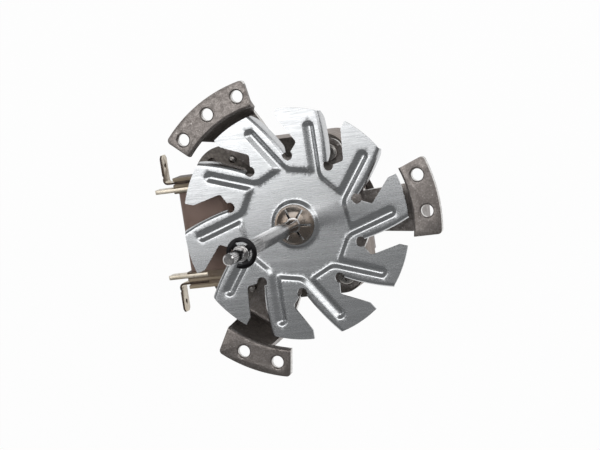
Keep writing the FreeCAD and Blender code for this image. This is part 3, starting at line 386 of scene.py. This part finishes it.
def wrapped_tape():
    """Brown woven tape laid round the coil in overlapping turns."""
    net = Net("wrapped_tape")
    parts = net.add("ShaderNodeSeparateXYZ", {"Vector": net.place})
    warp = net.math("SINE", net.math("MULTIPLY", parts.outputs["Y"], math.tau / (0.62 * MM)))
    weft = net.math("SINE", net.math("MULTIPLY", parts.outputs["Z"], math.tau / (0.9 * MM)))
    across = net.math("SINE", net.math("MULTIPLY", parts.outputs["X"], math.tau / (0.9 * MM)))
    weave = net.math("MULTIPLY", warp, net.math("ADD", weft, across))
    stain = net.noise(90.0, 4.0)
    fine = net.noise(1400.0, 2.0)
    tone = net.mix(net.remap(stain, 0.3, 0.7, 0.0, 1.0), "947a6e", "a88f83")
    tone = net.mix(net.remap(weave, -1.0, 1.0, 0.45, 0.0), tone, "5c4a45")
    rough = net.remap(fine, 0.3, 0.7, 0.5, 0.66)
    normal = net.bump(weave, 0.35, 0.00008)
    return net.finish(Base_Color=tone, Roughness=rough, Normal=normal)


def bobbin_plastic():
    """Glass-filled brown plastic: pale on its ribs, with painted shade making the floor between them
    darker.
    """
    net = Net("bobbin_plastic")
    grain = net.noise(800.0, 3.0)
    cloud = net.noise(70.0, 3.0)
    z = net.add("ShaderNodeSeparateXYZ", {"Vector": net.place}).outputs["Z"]
    # Painted shade: below the blocks' floor height the plastic is coloured dark brown, where shade falls
    # between the ribs
    out_of_painted_shade = net.remap(z, BLOCK_FLOOR[0] * MM, BLOCK_FLOOR[1] * MM, 0.0, 1.0)
    painted_floor_shade = net.mix(net.remap(cloud, 0.35, 0.65, 0.0, 1.0), "4a382b", "65503f")
    pale = net.mix(net.remap(cloud, 0.35, 0.65, 0.0, 1.0), "97866f", "b3a28a")
    tone = net.mix(out_of_painted_shade, painted_floor_shade, pale)
    tone = net.mix(net.remap(grain, 0.55, 0.75, 0.0, 0.4), tone, "c3b49c")
    rough = net.remap(grain, 0.3, 0.7, 0.4, 0.58)
    normal = net.bump(grain, 0.25, 0.00005)
    return net.finish(Base_Color=tone, Roughness=rough, Normal=normal)


def tinned_brass():
    """Tinned tabs: pale, slightly warm, with rolling lines."""
    net = Net("tinned_brass")
    grain = net.noise(1.0, 4.0, 0.55, net.stretched((200, 200, 2400)))
    stain = net.noise(240.0, 4.0)
    tone = net.mix(net.remap(stain, 0.35, 0.65, 0.0, 1.0), "c9bda9", "ded5c6")
    tone = net.mix(net.remap(stain, 0.62, 0.78, 0.0, 0.5), tone, "9a8a74")
    rough = net.remap(grain, 0.3, 0.7, 0.28, 0.42)
    normal = net.bump(grain, 0.2, 0.00002)
    return net.finish(Base_Color=tone, Metallic=0.85, Roughness=rough, Normal=normal)


def metal(name, low, high, rough):
    """Plain metal with mottled tone, roughness and a light bump."""
    net = Net(name)
    marks = net.noise(600.0, 4.0)
    cloud = net.noise(90.0, 3.0)
    tone = net.mix(net.remap(cloud, 0.3, 0.7, 0.0, 1.0), low, high)
    spread = net.remap(marks, 0.3, 0.7, rough * 0.8, rough * 1.3)
    normal = net.bump(marks, 0.2, 0.00004)
    return net.finish(Base_Color=tone, Metallic=1.0, Roughness=spread, Normal=normal)


def enamelled_wire():
    """Close turns of enamelled copper wire."""
    net = Net("enamelled_wire")
    y = net.add("ShaderNodeSeparateXYZ", {"Vector": net.place}).outputs["Y"]
    turns = net.math("SINE", net.math("MULTIPLY", y, math.tau / (0.35 * MM)))
    tone = net.mix(net.remap(turns, -1.0, 1.0, 0.0, 1.0), "5a2a14", "b8683c")
    normal = net.bump(turns, 0.6, 0.0001)
    return net.finish(Base_Color=tone, Metallic=0.8, Roughness=0.3, Normal=normal)


def wool_felt():
    """Oil-soaked felt."""
    net = Net("wool_felt")
    fibres = net.noise(2200.0, 5.0, 0.7)
    tone = net.mix(net.remap(fibres, 0.3, 0.7, 0.0, 1.0), "6f6552", "a09478")
    normal = net.bump(fibres, 0.8, 0.00015)
    return net.finish(Base_Color=tone, Roughness=0.9, Normal=normal)


MATERIALS = {
    "fan_sheet": rolled_sheet(),
    "bracket_steel": speckled_steel(),
    "lamination": laminations(),
    "copper": enamelled_wire(),
    "bright_steel": metal("bright_steel", "8f8b87", "a9a5a1", 0.24),
    "bronze": metal("bronze", "8a6a45", "a98658", 0.35),
    "felt": wool_felt(),
    "spring_steel": dark_spring(),
    "spring_steel_tan": tinted_spring(),
    "shaft_steel": polished_steel(),
    "aluminium": metal("aluminium", "b0b0b0", "cdcdcc", 0.4),
    "washer_plastic": metal("washer_plastic", "6b5b45", "857257", 0.5),
    "bobbin_plastic": bobbin_plastic(),
    "tape": wrapped_tape(),
    "tin": tinned_brass(),
}
SLOTS = {part["node"]: part["material_slot"] for part in frame["record"]["subparts"]}
BARE_EDGE = sheared_edge()
DARK_EDGE = dark_tab_edge()


def dress(obj, slot):
    obj.data.materials.clear()
    obj.data.materials.append(MATERIALS[slot])


for name, node in frame["nodes"].items():
    dress(node, SLOTS[name])


# Pieces made here


def body_of(node):
    return frame["nodes"][node]["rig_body"]


def add_piece(name, node, mesh, sharp=38.0, second=None):
    """Puts a finished mesh in the scene in place of a node."""
    obj = bpy.data.objects.new(name, mesh)
    bpy.context.scene.collection.objects.link(obj)
    kinds = [p.material_index for p in mesh.polygons]
    dress(obj, SLOTS[node])
    if second:
        mesh.materials.append(second)
    for polygon, kind in zip(mesh.polygons, kinds):
        polygon.use_smooth = True
        polygon.material_index = kind if second else 0
    mesh.set_sharp_from_angle(angle=math.radians(sharp))
    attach(obj, body_of(node))
    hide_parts(node)
    return obj


def mesh_from(name, points, faces):
    """A mesh in metres from points in millimetres."""
    mesh = bpy.data.meshes.new(name)
    mesh.from_pydata([tuple(c * MM for c in p) for p in points], [], faces)
    work = bmesh.new()
    work.from_mesh(mesh)
    bmesh.ops.remove_doubles(work, verts=work.verts, dist=1e-6)
    bmesh.ops.dissolve_degenerate(work, edges=work.edges, dist=1e-7)
    work.to_mesh(mesh)
    work.free()
    return mesh


def with_modifiers(mesh, *modifiers):
    """The mesh after some modifiers, each a kind and its settings."""
    obj = bpy.data.objects.new("work", mesh)
    bpy.context.scene.collection.objects.link(obj)
    for kind, settings in modifiers:
        modifier = obj.modifiers.new(kind.lower(), kind)
        for key, value in settings.items():
            setattr(modifier, key, value)
    view = bpy.context.evaluated_depsgraph_get()
    result = bpy.data.meshes.new_from_object(obj.evaluated_get(view))
    bpy.data.objects.remove(obj)
    return result


def rounding(width, segments=2, angle=40.0):
    limit = {"limit_method": "ANGLE", "angle_limit": math.radians(angle), "use_clamp_overlap": True}
    return ("BEVEL", {"width": width * MM, "segments": segments, "profile": 0.5, **limit})


def softened(node, width, segments=2, angle=35.0, second=None, chosen=None):
    """The CAD node's own shape with small radii on its edges, some faces in a second material."""
    work = bmesh.new()
    work.from_mesh(frame["nodes"][node].data)
    bmesh.ops.remove_doubles(work, verts=work.verts, dist=1e-6)
    limit = math.radians(0.6)
    bmesh.ops.dissolve_limit(work, angle_limit=limit, verts=work.verts, edges=work.edges)
    for face in work.faces:
        face.material_index = 1 if chosen and chosen(face) else 0
    mesh = bpy.data.meshes.new(node + "_soft")
    work.to_mesh(mesh)
    work.free()
    mesh.materials.append(MATERIALS[SLOTS[node]])
    mesh.materials.append(second or MATERIALS[SLOTS[node]])
    mesh = with_modifiers(mesh, rounding(width, segments, angle))
    return add_piece(node + "_finished", node, mesh, second=second)


def sheet_edge(face):
    """Whether a face stands along the shaft and is no taller than the bracket's sheet."""
    heights = [v.co.z for v in face.verts]
    return abs(face.normal.z) < 0.3 and max(heights) - min(heights) < CUT_EDGE * BRACKET_SHEET * MM


def front_edge(face):
    """Whether a face looks to the front, as a tab's cut edge does."""
    return face.normal.z > 0.7


def lathe(name, rings, segments, cut=None):
    """A turned solid from (radius, height) rings; cut gives grooves that run along it."""
    points, faces = [], []
    for radius, z in rings:
        for i in range(segments):
            angle = math.tau * i / segments
            r = radius - (cut(angle, z) if cut else 0.0)
            points.append((r * math.cos(angle), r * math.sin(angle), z))
    for j in range(len(rings) - 1):
        for i in range(segments):
            k, n = j * segments + i, j * segments + (i + 1) % segments
            faces.append((k, n, n + segments, k + segments))
    faces.append(tuple(reversed(range(segments))))
    faces.append(tuple(range((len(rings) - 1) * segments, len(rings) * segments)))
    return mesh_from(name, points, faces)


def arc(centre, radius, start, end, pitch):
    """Points along an arc, both ends included."""
    count = max(2, int(abs(end - start) * radius / pitch + 0.5))
    angles = [start + (end - start) * i / count for i in range(count + 1)]
    return [(centre[0] + radius * math.cos(a), centre[1] + radius * math.sin(a)) for a in angles]


def run(a, b, pitch):
    """Points along a straight run, both ends included."""
    count = max(1, int(math.dist(a, b) / pitch + 0.5))
    return [(a[0] + (b[0] - a[0]) * i / count, a[1] + (b[1] - a[1]) * i / count) for i in range(count + 1)]


def rounded_path(points, radii, pitch):
    """An open path through points, its inner corners rounded."""
    path, last = [], points[0]
    for before, p, after, radius in zip(points, points[1:], points[2:], radii):
        a = Vector(before) - Vector(p)
        b = Vector(after) - Vector(p)
        a, b = a.normalized(), b.normalized()
        half = math.acos(max(-1.0, min(1.0, a.dot(b)))) / 2
        reach = radius / math.tan(half)
        start, end = Vector(p) + a * reach, Vector(p) + b * reach
        centre = Vector(p) + (a + b).normalized() * (radius / math.sin(half))
        path += run(last, tuple(start), pitch)[:-1]
        first = math.atan2(start.y - centre.y, start.x - centre.x)
        sweep = math.atan2(end.y - centre.y, end.x - centre.x) - first
        sweep = (sweep + math.pi) % math.tau - math.pi
        path += arc(centre, radius, first, first + sweep, min(pitch, radius / 3))[:-1]
        last = tuple(end)
    return path + run(last, points[-1], pitch)


def joined(*paths):
    """One closed outline from paths that follow each other."""
    outline = []
    for path in paths:
        for p in path:
            if not outline or math.dist(outline[-1], p) > 1e-5:
                outline.append(p)
    if math.dist(outline[0], outline[-1]) < 1e-5:
        outline.pop()
    return outline


def inside(outline, points):
    """Which points lie inside a closed outline, and their distance to its corners."""
    x, y = points[:, 0], points[:, 1]
    ring = np.array(outline)
    result = np.zeros(len(points), bool)
    for a, b in zip(ring, np.roll(ring, -1, 0)):
        crosses = (a[1] > y) != (b[1] > y)
        if a[1] != b[1]:
            result ^= crosses & (x < (b[0] - a[0]) * (y - a[1]) / (b[1] - a[1]) + a[0])
    gap = np.full(len(points), 1e9)
    for corner in ring:
        gap = np.minimum(gap, np.hypot(x - corner[0], y - corner[1]))
    return result, gap


def hex_grid(low, high, pitch):
    rows = []
    for j in range(int((high[1] - low[1]) / (pitch * 0.866)) + 2):
        shift = pitch / 2 if j % 2 else 0.0
        for i in range(int((high[0] - low[0]) / pitch) + 2):
            rows.append((low[0] + shift + i * pitch, low[1] + j * pitch * 0.866))
    return np.array(rows)


def filled(outline, inner, clearance):
    """Triangles over an outline that use the inner points clear of its edge."""
    keep, gap = inside(outline, inner)
    chosen = inner[keep & (gap > clearance)]
    points = [Vector(p) for p in outline] + [Vector(p) for p in chosen]
    loop = list(range(len(outline)))
    verts, _, faces, *_ = delaunay_2d_cdt(points, [], [loop], 1, 1e-7)
    return [(v.x, v.y) for v in verts], [tuple(f) for f in faces]


# Cooling fan


def smooth_step(low, high, value):
    t = np.clip((value - low) / (high - low), 0.0, 1.0)
    return t * t * (3 - 2 * t)


def smooth_least(a, b, width):
    h = np.clip(0.5 + 0.5 * (b - a) / width, 0.0, 1.0)
    return b + (a - b) * h - width * h * (1 - h)


def pressing_distance(x, y):
    """Distance to the edge of the pressed plateau and ribs, negative inside."""
    result = np.full(x.shape, -1e9)
    for i in range(BLADES):
        a = PLATEAU_TURN - STEP * i
        side = x * math.cos(a) + y * math.sin(a) - PLATEAU
        result = np.maximum(result, side)
    for i in range(BLADES):
        c, s = math.cos(STEP * i), math.sin(STEP * i)
        u, v = c * x - s * y, s * x + c * y
        along = np.clip(v, RIB_START, RIB_END - RIB_HALF)
        rib = np.hypot(u - RIB_OFF, v - along) - RIB_HALF
        result = smooth_least(result, rib, RIB_FILLET)
    return result


def fan_height(x, y):
    """Front face of the stamped sheet, millimetres along the shaft."""
    height = FAN_FRONT - PRESS_DEPTH * smooth_step(*PRESS_BLEND, -pressing_distance(x, y))
    inward = (BOSS_FOOT_R + BOSS_SOFT - np.hypot(x, y)) / (BOSS_FOOT_R - BOSS_R + 2 * BOSS_SOFT)
    return height + BOSS_RISE * smooth_step(0.0, 1.0, inward)


def flap_axis():
    """Centre of a flap's curved bend line."""
    a, b = Vector(FLAP_OUTER), Vector(FLAP_INNER)
    middle, chord = (a + b) / 2, (a - b).length
    away = Vector((b.y - a.y, a.x - b.x)).normalized()
    return middle + away * math.sqrt(FLAP_BOW ** 2 - (chord / 2) ** 2)


def rim_angle(centre, radius):
    """Angle about the flap's centre at which a circle round it meets the fan's rim."""
    reach = centre.length
    cosine = (FAN_R ** 2 - reach ** 2 - radius ** 2) / (2 * reach * radius)
    toward = math.atan2(centre.y, centre.x)
    options = [toward + math.acos(cosine), toward - math.acos(cosine)]
    points = [centre + radius * Vector((math.cos(a), math.sin(a))) for a in options]
    best = min(range(2), key=lambda i: (points[i] - Vector(FLAP_OUTER)).length)
    return math.atan2(points[best].y - centre.y, points[best].x - centre.x)


def inner_angle(centre):
    """Angle about the flap's centre at which its bend runs out beside the next relief hole."""
    start = Vector(FLAP_INNER) - centre
    return math.atan2(start.y, start.x) - FLAP_REACH / FLAP_BOW


def flap_angle(centre, radius, share):
    inner = inner_angle(centre)
    return inner + (rim_angle(centre, radius) - inner) * share


def bend_start(centre):
    radius = FLAP_BOW - FLAP_TURN
    angles = [flap_angle(centre, radius, i / FLAP_STEPS) for i in range(FLAP_STEPS + 1)]
    return [(centre.x + radius * math.cos(a), centre.y + radius * math.sin(a)) for a in angles]


def blade_outline(pitch):
    """One blade with its share of the hub: edge of the flat part, clockwise."""
    centre = flap_axis()
    relief_angle = math.atan2(RELIEF_AT[1], RELIEF_AT[0])
    reach = math.hypot(*RELIEF_AT) - RELIEF_R
    hub = SHAFT_R + SHAFT_ROOM
    root = Vector(SLOT_ROOT) - Vector(RELIEF_AT)
    root_angle = math.atan2(root.y, root.x)
    own_cut = run(polar(hub, relief_angle), polar(reach, relief_angle), pitch * 1.4)
    own_relief = arc(RELIEF_AT, RELIEF_R, relief_angle - math.pi, root_angle, pitch)
    edge = [own_relief[-1], SLOT_BULGE, SLOT_TOP, (SLOT_TOP[0], FAN_R)]
    edge = rounded_path(edge, SLOT_ROUNDS, pitch)
    edge[-1] = (SLOT_TOP[0], math.sqrt(FAN_R ** 2 - SLOT_TOP[0] ** 2))
    bend = bend_start(centre)
    first = math.atan2(edge[-1][1], edge[-1][0])
    last = math.atan2(bend[-1][1], bend[-1][0])
    rim = arc((0, 0), FAN_R, first, last, pitch)
    rim[-1] = bend[-1]
    hole = turn(RELIEF_AT, -STEP)
    start = math.atan2(bend[0][1] - hole[1], bend[0][0] - hole[0])
    end = relief_angle - STEP - math.pi
    if start - end > math.pi:
        end += math.tau
    next_arc = arc(hole, RELIEF_R, start, end, pitch)
    next_cut = [turn(p, -STEP) for p in own_cut][::-1]
    hub_arc = arc((0, 0), hub, relief_angle - STEP, relief_angle, pitch)
    return joined(own_cut, own_relief, edge, rim, bend[::-1], next_arc, next_cut, hub_arc)


def polar(radius, angle):
    return (radius * math.cos(angle), radius * math.sin(angle))


def flap_drop(along, span):
    """Depth of the flap's lower edge at a place along it."""
    (inner_drop, inner_slope), (outer_drop, outer_slope) = FLAP_ENDS
    inner, outer = inner_drop + along * inner_slope, outer_drop + (span - along) * outer_slope
    low = smooth_least(inner, outer, FLAP_ROUNDS[0])
    return float(smooth_least(low, FLAP_HEIGHT, FLAP_ROUNDS[1]))


def flap_strip():
    """Bend and turned-back flap of one blade as a grid: points and faces."""
    centre = flap_axis()
    points, faces = [], []
    span = FLAP_BOW * abs(rim_angle(centre, FLAP_BOW) - inner_angle(centre))
    for i in range(FLAP_STEPS + 1):
        share = i / FLAP_STEPS
        lowest = flap_drop(span * share, span)
        for j in range(FLAP_ROW):
            if j <= BEND_STEPS:
                b = math.pi / 2 * j / BEND_STEPS
                radius = FLAP_BOW - FLAP_TURN + FLAP_TURN * math.sin(b)
                drop = FLAP_TURN * (1 - math.cos(b))
            else:
                radius = FLAP_BOW
                drop = FLAP_TURN + (lowest - FLAP_TURN) * (j - BEND_STEPS) / DROP_STEPS
            a = flap_angle(centre, radius, share)
            x, y = centre.x + radius * math.cos(a), centre.y + radius * math.sin(a)
            points.append((x, y, FAN_FRONT - drop))
    for i in range(FLAP_STEPS):
        for j in range(FLAP_ROW - 1):
            k = i * FLAP_ROW + j
            faces.append((k, k + 1, k + FLAP_ROW + 1, k + FLAP_ROW))
    return points, faces


def blade_points(outline):
    """Inner points of a blade: close together on pressed slopes, wide apart elsewhere."""
    ring = np.array(outline)
    chosen = []
    for pitch in (FINE_PITCH, COARSE_PITCH):
        grid = hex_grid(ring.min(0), ring.max(0), pitch)
        x, y = grid[:, 0], grid[:, 1]
        slope = np.abs(-pressing_distance(x, y) - sum(PRESS_BLEND) / 2)
        hub = np.abs(np.hypot(x, y) - (BOSS_R + BOSS_FOOT_R) / 2)
        if pitch == FINE_PITCH:
            keep = (slope < FINE_REACH[0]) | (hub < FINE_REACH[1])
        else:
            keep = (slope > COARSE_REACH[0]) & (hub > COARSE_REACH[1])
        chosen.append(grid[keep])
    return np.concatenate(chosen)


def blade_parts():
    """Front face of one blade, its flat part and its flap: points and faces of each."""
    outline = blade_outline(OUTLINE_PITCH)
    flat_points, flat_faces = filled(outline, blade_points(outline), EDGE_CLEAR)
    xy = np.array(flat_points)
    heights = fan_height(xy[:, 0], xy[:, 1])
    flat = [(x, y, z) for (x, y), z in zip(flat_points, heights)]
    strip, strip_faces = flap_strip()
    for i in range(FLAP_STEPS + 1):
        x, y, _ = strip[i * FLAP_ROW]
        strip[i * FLAP_ROW] = (x, y, float(fan_height(np.array([x]), np.array([y]))[0]))
    return (flat, flat_faces), (strip, strip_faces)


def facing_front(mesh):
    """Welds the blades' seams and turns every face the way its front looks."""
    work = bmesh.new()
    work.from_mesh(mesh)
    bmesh.ops.remove_doubles(work, verts=work.verts, dist=WELD * MM)
    bmesh.ops.recalc_face_normals(work, faces=work.faces)
    top = max(work.faces, key=lambda f: f.calc_center_median().z)
    if top.normal.z < 0:
        bmesh.ops.reverse_faces(work, faces=work.faces)
    work.to_mesh(mesh)
    work.free()


def cooling_fan():
    parts = blade_parts()
    points, faces = [], []
    for blade in range(BLADES):
        for part, part_faces in parts:
            start = len(points)
            points += [turn(p, -STEP * blade) + (p[2],) for p in part]
            faces += [tuple(start + i for i in f) for f in part_faces]
    mesh = mesh_from("fan_front", points, faces)
    facing_front(mesh)
    thick = ("SOLIDIFY", {"thickness": FAN_SHEET * MM, "offset": -1.0, "use_even_offset": False})
    return add_piece("stamped_fan", "cooling_fan", with_modifiers(mesh, thick), 50.0)


# Shaft


def serration(angle, z):
    """Depth of the grooves that are rolled along part of the shaft."""
    if not SERRATION[0] < z < SERRATION[1]:
        return 0.0
    return SERRATION_DEPTH * max(0.0, math.cos(SERRATIONS * angle)) ** 3


def shaft_rings():
    """Radius and height of the shaft's rings, from its rear end to its tip."""
    edge = 0.01
    rings = [(SHAFT_R - SHAFT_CHAMFER, SHAFT_REAR), (SHAFT_R, SHAFT_REAR + SHAFT_CHAMFER)]
    rings += [(SHAFT_R, NECK[0] - edge), (NECK_R, NECK[0])]
    for i in range(SHOULDER_STEPS + 1):
        a = math.pi / 2 * i / SHOULDER_STEPS
        rise = (SHAFT_R - NECK_R) * math.sin(a)
        rings.append((NECK_R + rise, NECK[1] + SHOULDER * (1 - math.cos(a))))
    low, high = SERRATION
    rings += [(SHAFT_R, z) for z in (low - 0.3, low + edge, low + 0.5, high - 0.5, high - edge, high + 0.3)]
    low, high = CLIP_GROOVE
    rings += [(SHAFT_R, low - BREAK), (SHAFT_R - BREAK, low)]
    rings += [(GROOVE_R, low + edge), (GROOVE_R, high - edge)]
    rings += [(SHAFT_R - BREAK, high), (SHAFT_R, high + BREAK)]
    broken, fillet = TIP_BREAKS
    rings += [(SHAFT_R, TIP_FOOT - broken), (SHAFT_R - broken, TIP_FOOT)]
    rings += [(TIP_R + fillet, TIP_FOOT + edge), (TIP_R, TIP_FOOT + fillet)]
    return rings + [(TIP_R, SHAFT_TIP - SHAFT_CHAMFER), (TIP_R - SHAFT_CHAMFER, SHAFT_TIP)]


def output_shaft():
    mesh = lathe("shaft_turned", shaft_rings(), SERRATION_FACETS * SERRATIONS, serration)
    return add_piece("output_shaft", "shaft", mesh, 30.0)


cooling_fan()
output_shaft()
softened("mounting_bracket", 0.2, 2, 40.0, BARE_EDGE, sheet_edge)
for name in ("terminal_bent_upper", "terminal_bent_lower"):
    softened(name, 0.1, 2, 40.0, DARK_EDGE, front_edge)
for name in ("terminal_straight_upper", "terminal_straight_lower", "fan_washer"):
    softened(name, 0.1)
softened("impeller_clip", 0.15)
softened("coil_bobbin", 0.25)


# Camera


def add_camera():
    a, e = math.radians(CAMERA_AZIMUTH), math.radians(CAMERA_ELEVATION)
    away = Vector((math.sin(a) * math.cos(e), -math.cos(a) * math.cos(e), math.sin(e)))
    data = bpy.data.cameras.new("camera")
    data.lens = LENS
    data.sensor_width = 36.0
    data.clip_start, data.clip_end = 0.01, 20.0
    camera = bpy.data.objects.new("camera", data)
    bpy.context.scene.collection.objects.link(camera)
    camera.location = AIM + away * CAMERA_DISTANCE
    camera.rotation_mode = "QUATERNION"
    roll = Quaternion((0, 0, 1), math.radians(CAMERA_ROLL))
    camera.rotation_quaternion = away.to_track_quat("Z", "Y") @ roll
    bpy.context.scene.camera = camera
    return camera


# Light and background


def softbox(name, at, aim, width, height, radiance):
    """Rectangular lamp that is seen in reflections but not by the camera."""
    data = bpy.data.lights.new(name, "AREA")
    data.shape = "RECTANGLE"
    data.size, data.size_y = width, height
    data.energy = radiance * math.pi * width * height
    lamp = bpy.data.objects.new(name, data)
    bpy.context.scene.collection.objects.link(lamp)
    lamp.location = at
    away = Vector(at) - Vector(aim)
    lamp.rotation_mode = "QUATERNION"
    lamp.rotation_quaternion = away.to_track_quat("Z", "Y")
    lamp.visible_camera = False
    return lamp


def studio_world():
    """White for the camera; a soft grey room for everything else."""
    world = bpy.data.worlds.new("studio")
    bpy.context.scene.world = world
    world.use_nodes = True
    tree = world.node_tree
    tree.nodes.clear()
    out = tree.nodes.new("ShaderNodeOutputWorld")
    path = tree.nodes.new("ShaderNodeLightPath")
    room = tree.nodes.new("ShaderNodeBackground")
    room.inputs["Color"].default_value = (0.98, 0.99, 1.0, 1.0)
    room.inputs["Strength"].default_value = ROOM_LEVEL
    white = tree.nodes.new("ShaderNodeBackground")
    white.inputs["Color"].default_value = (1, 1, 1, 1)
    mix = tree.nodes.new("ShaderNodeMixShader")
    tree.links.new(path.outputs["Is Camera Ray"], mix.inputs["Fac"])
    tree.links.new(room.outputs[0], mix.inputs[1])
    tree.links.new(white.outputs[0], mix.inputs[2])
    tree.links.new(mix.outputs[0], out.inputs["Surface"])


def studio_floor():
    """Pale floor that reads white and keeps a faint shadow."""
    size = FLOOR_SIZE
    corners = [(-size, -size, 0), (size, -size, 0), (size, size, 0), (-size, size, 0)]
    mesh = bpy.data.meshes.new("floor")
    mesh.from_pydata(corners, [], [(0, 1, 2, 3)])
    floor = bpy.data.objects.new("floor", mesh)
    bpy.context.scene.collection.objects.link(floor)
    floor.location = (0, 0, cad_low.z - FLOOR_GAP)
    net = Net("floor_white")
    grain = net.noise(30.0, 4.0)
    net.finish(Base_Color=net.mix(grain, 0.86, 0.9), Roughness=0.8)
    glow = net.add("ShaderNodeEmission", {"Color": (1, 1, 1, 1), "Strength": 1.0})
    path = net.add("ShaderNodeLightPath")
    seen = net.math("MAXIMUM", path.outputs["Is Camera Ray"], path.outputs["Is Glossy Ray"])
    seen = net.math("MAXIMUM", seen, path.outputs["Is Transmission Ray"])
    mix = net.add("ShaderNodeMixShader", {"Fac": net.math("MULTIPLY", seen, FLOOR_GLOW)})
    net.tree.links.new(net.shader.outputs[0], mix.inputs[1])
    net.tree.links.new(glow.outputs[0], mix.inputs[2])
    out = net.tree.nodes["Material Output"]
    net.tree.links.new(mix.outputs[0], out.inputs["Surface"])
    mesh.materials.append(net.material)


def frame_of(x, y, z):
    """Rotation whose axes are the three given ones."""
    return Matrix((x, y, z)).transposed().to_quaternion()


def key_light(camera):
    """Large lamp mirrored by the upper left part of the fan, its near edge beside the hub."""
    hub = Vector((0, 0, FAN_FRONT * MM))
    view = (camera.location - hub).normalized()
    mirrored = Vector((-view.x, -view.y, view.z))
    right = camera.rotation_quaternion @ Vector((1, 0, 0))
    right = (right - mirrored * right.dot(mirrored)).normalized()
    up = right.cross(mirrored)
    up = up if up.y > 0 else -up
    slant = math.radians(KEY_TURN)
    along = right * math.cos(slant) + up * math.sin(slant)
    across = up * math.cos(slant) - right * math.sin(slant)
    at = hub + mirrored * KEY_DISTANCE + along * KEY_SHIFT + across * (KEY_OVER + KEY_SIZE[1] / 2)
    lamp = softbox("key", at, at - mirrored, *KEY_SIZE, KEY_LEVEL)
    facing = along.cross(across)
    facing = facing if facing.dot(mirrored) > 0 else -facing
    lamp.rotation_quaternion = frame_of(along, facing.cross(along), facing)


camera = add_camera()
studio_world()
studio_floor()
key_light(camera)
softbox("side", aim=LAMP_AIM, **SIDE_LAMP)
softbox("top", aim=LAMP_AIM, **TOP_LAMP)

scene = bpy.context.scene
scene.view_settings.view_transform = "Standard"
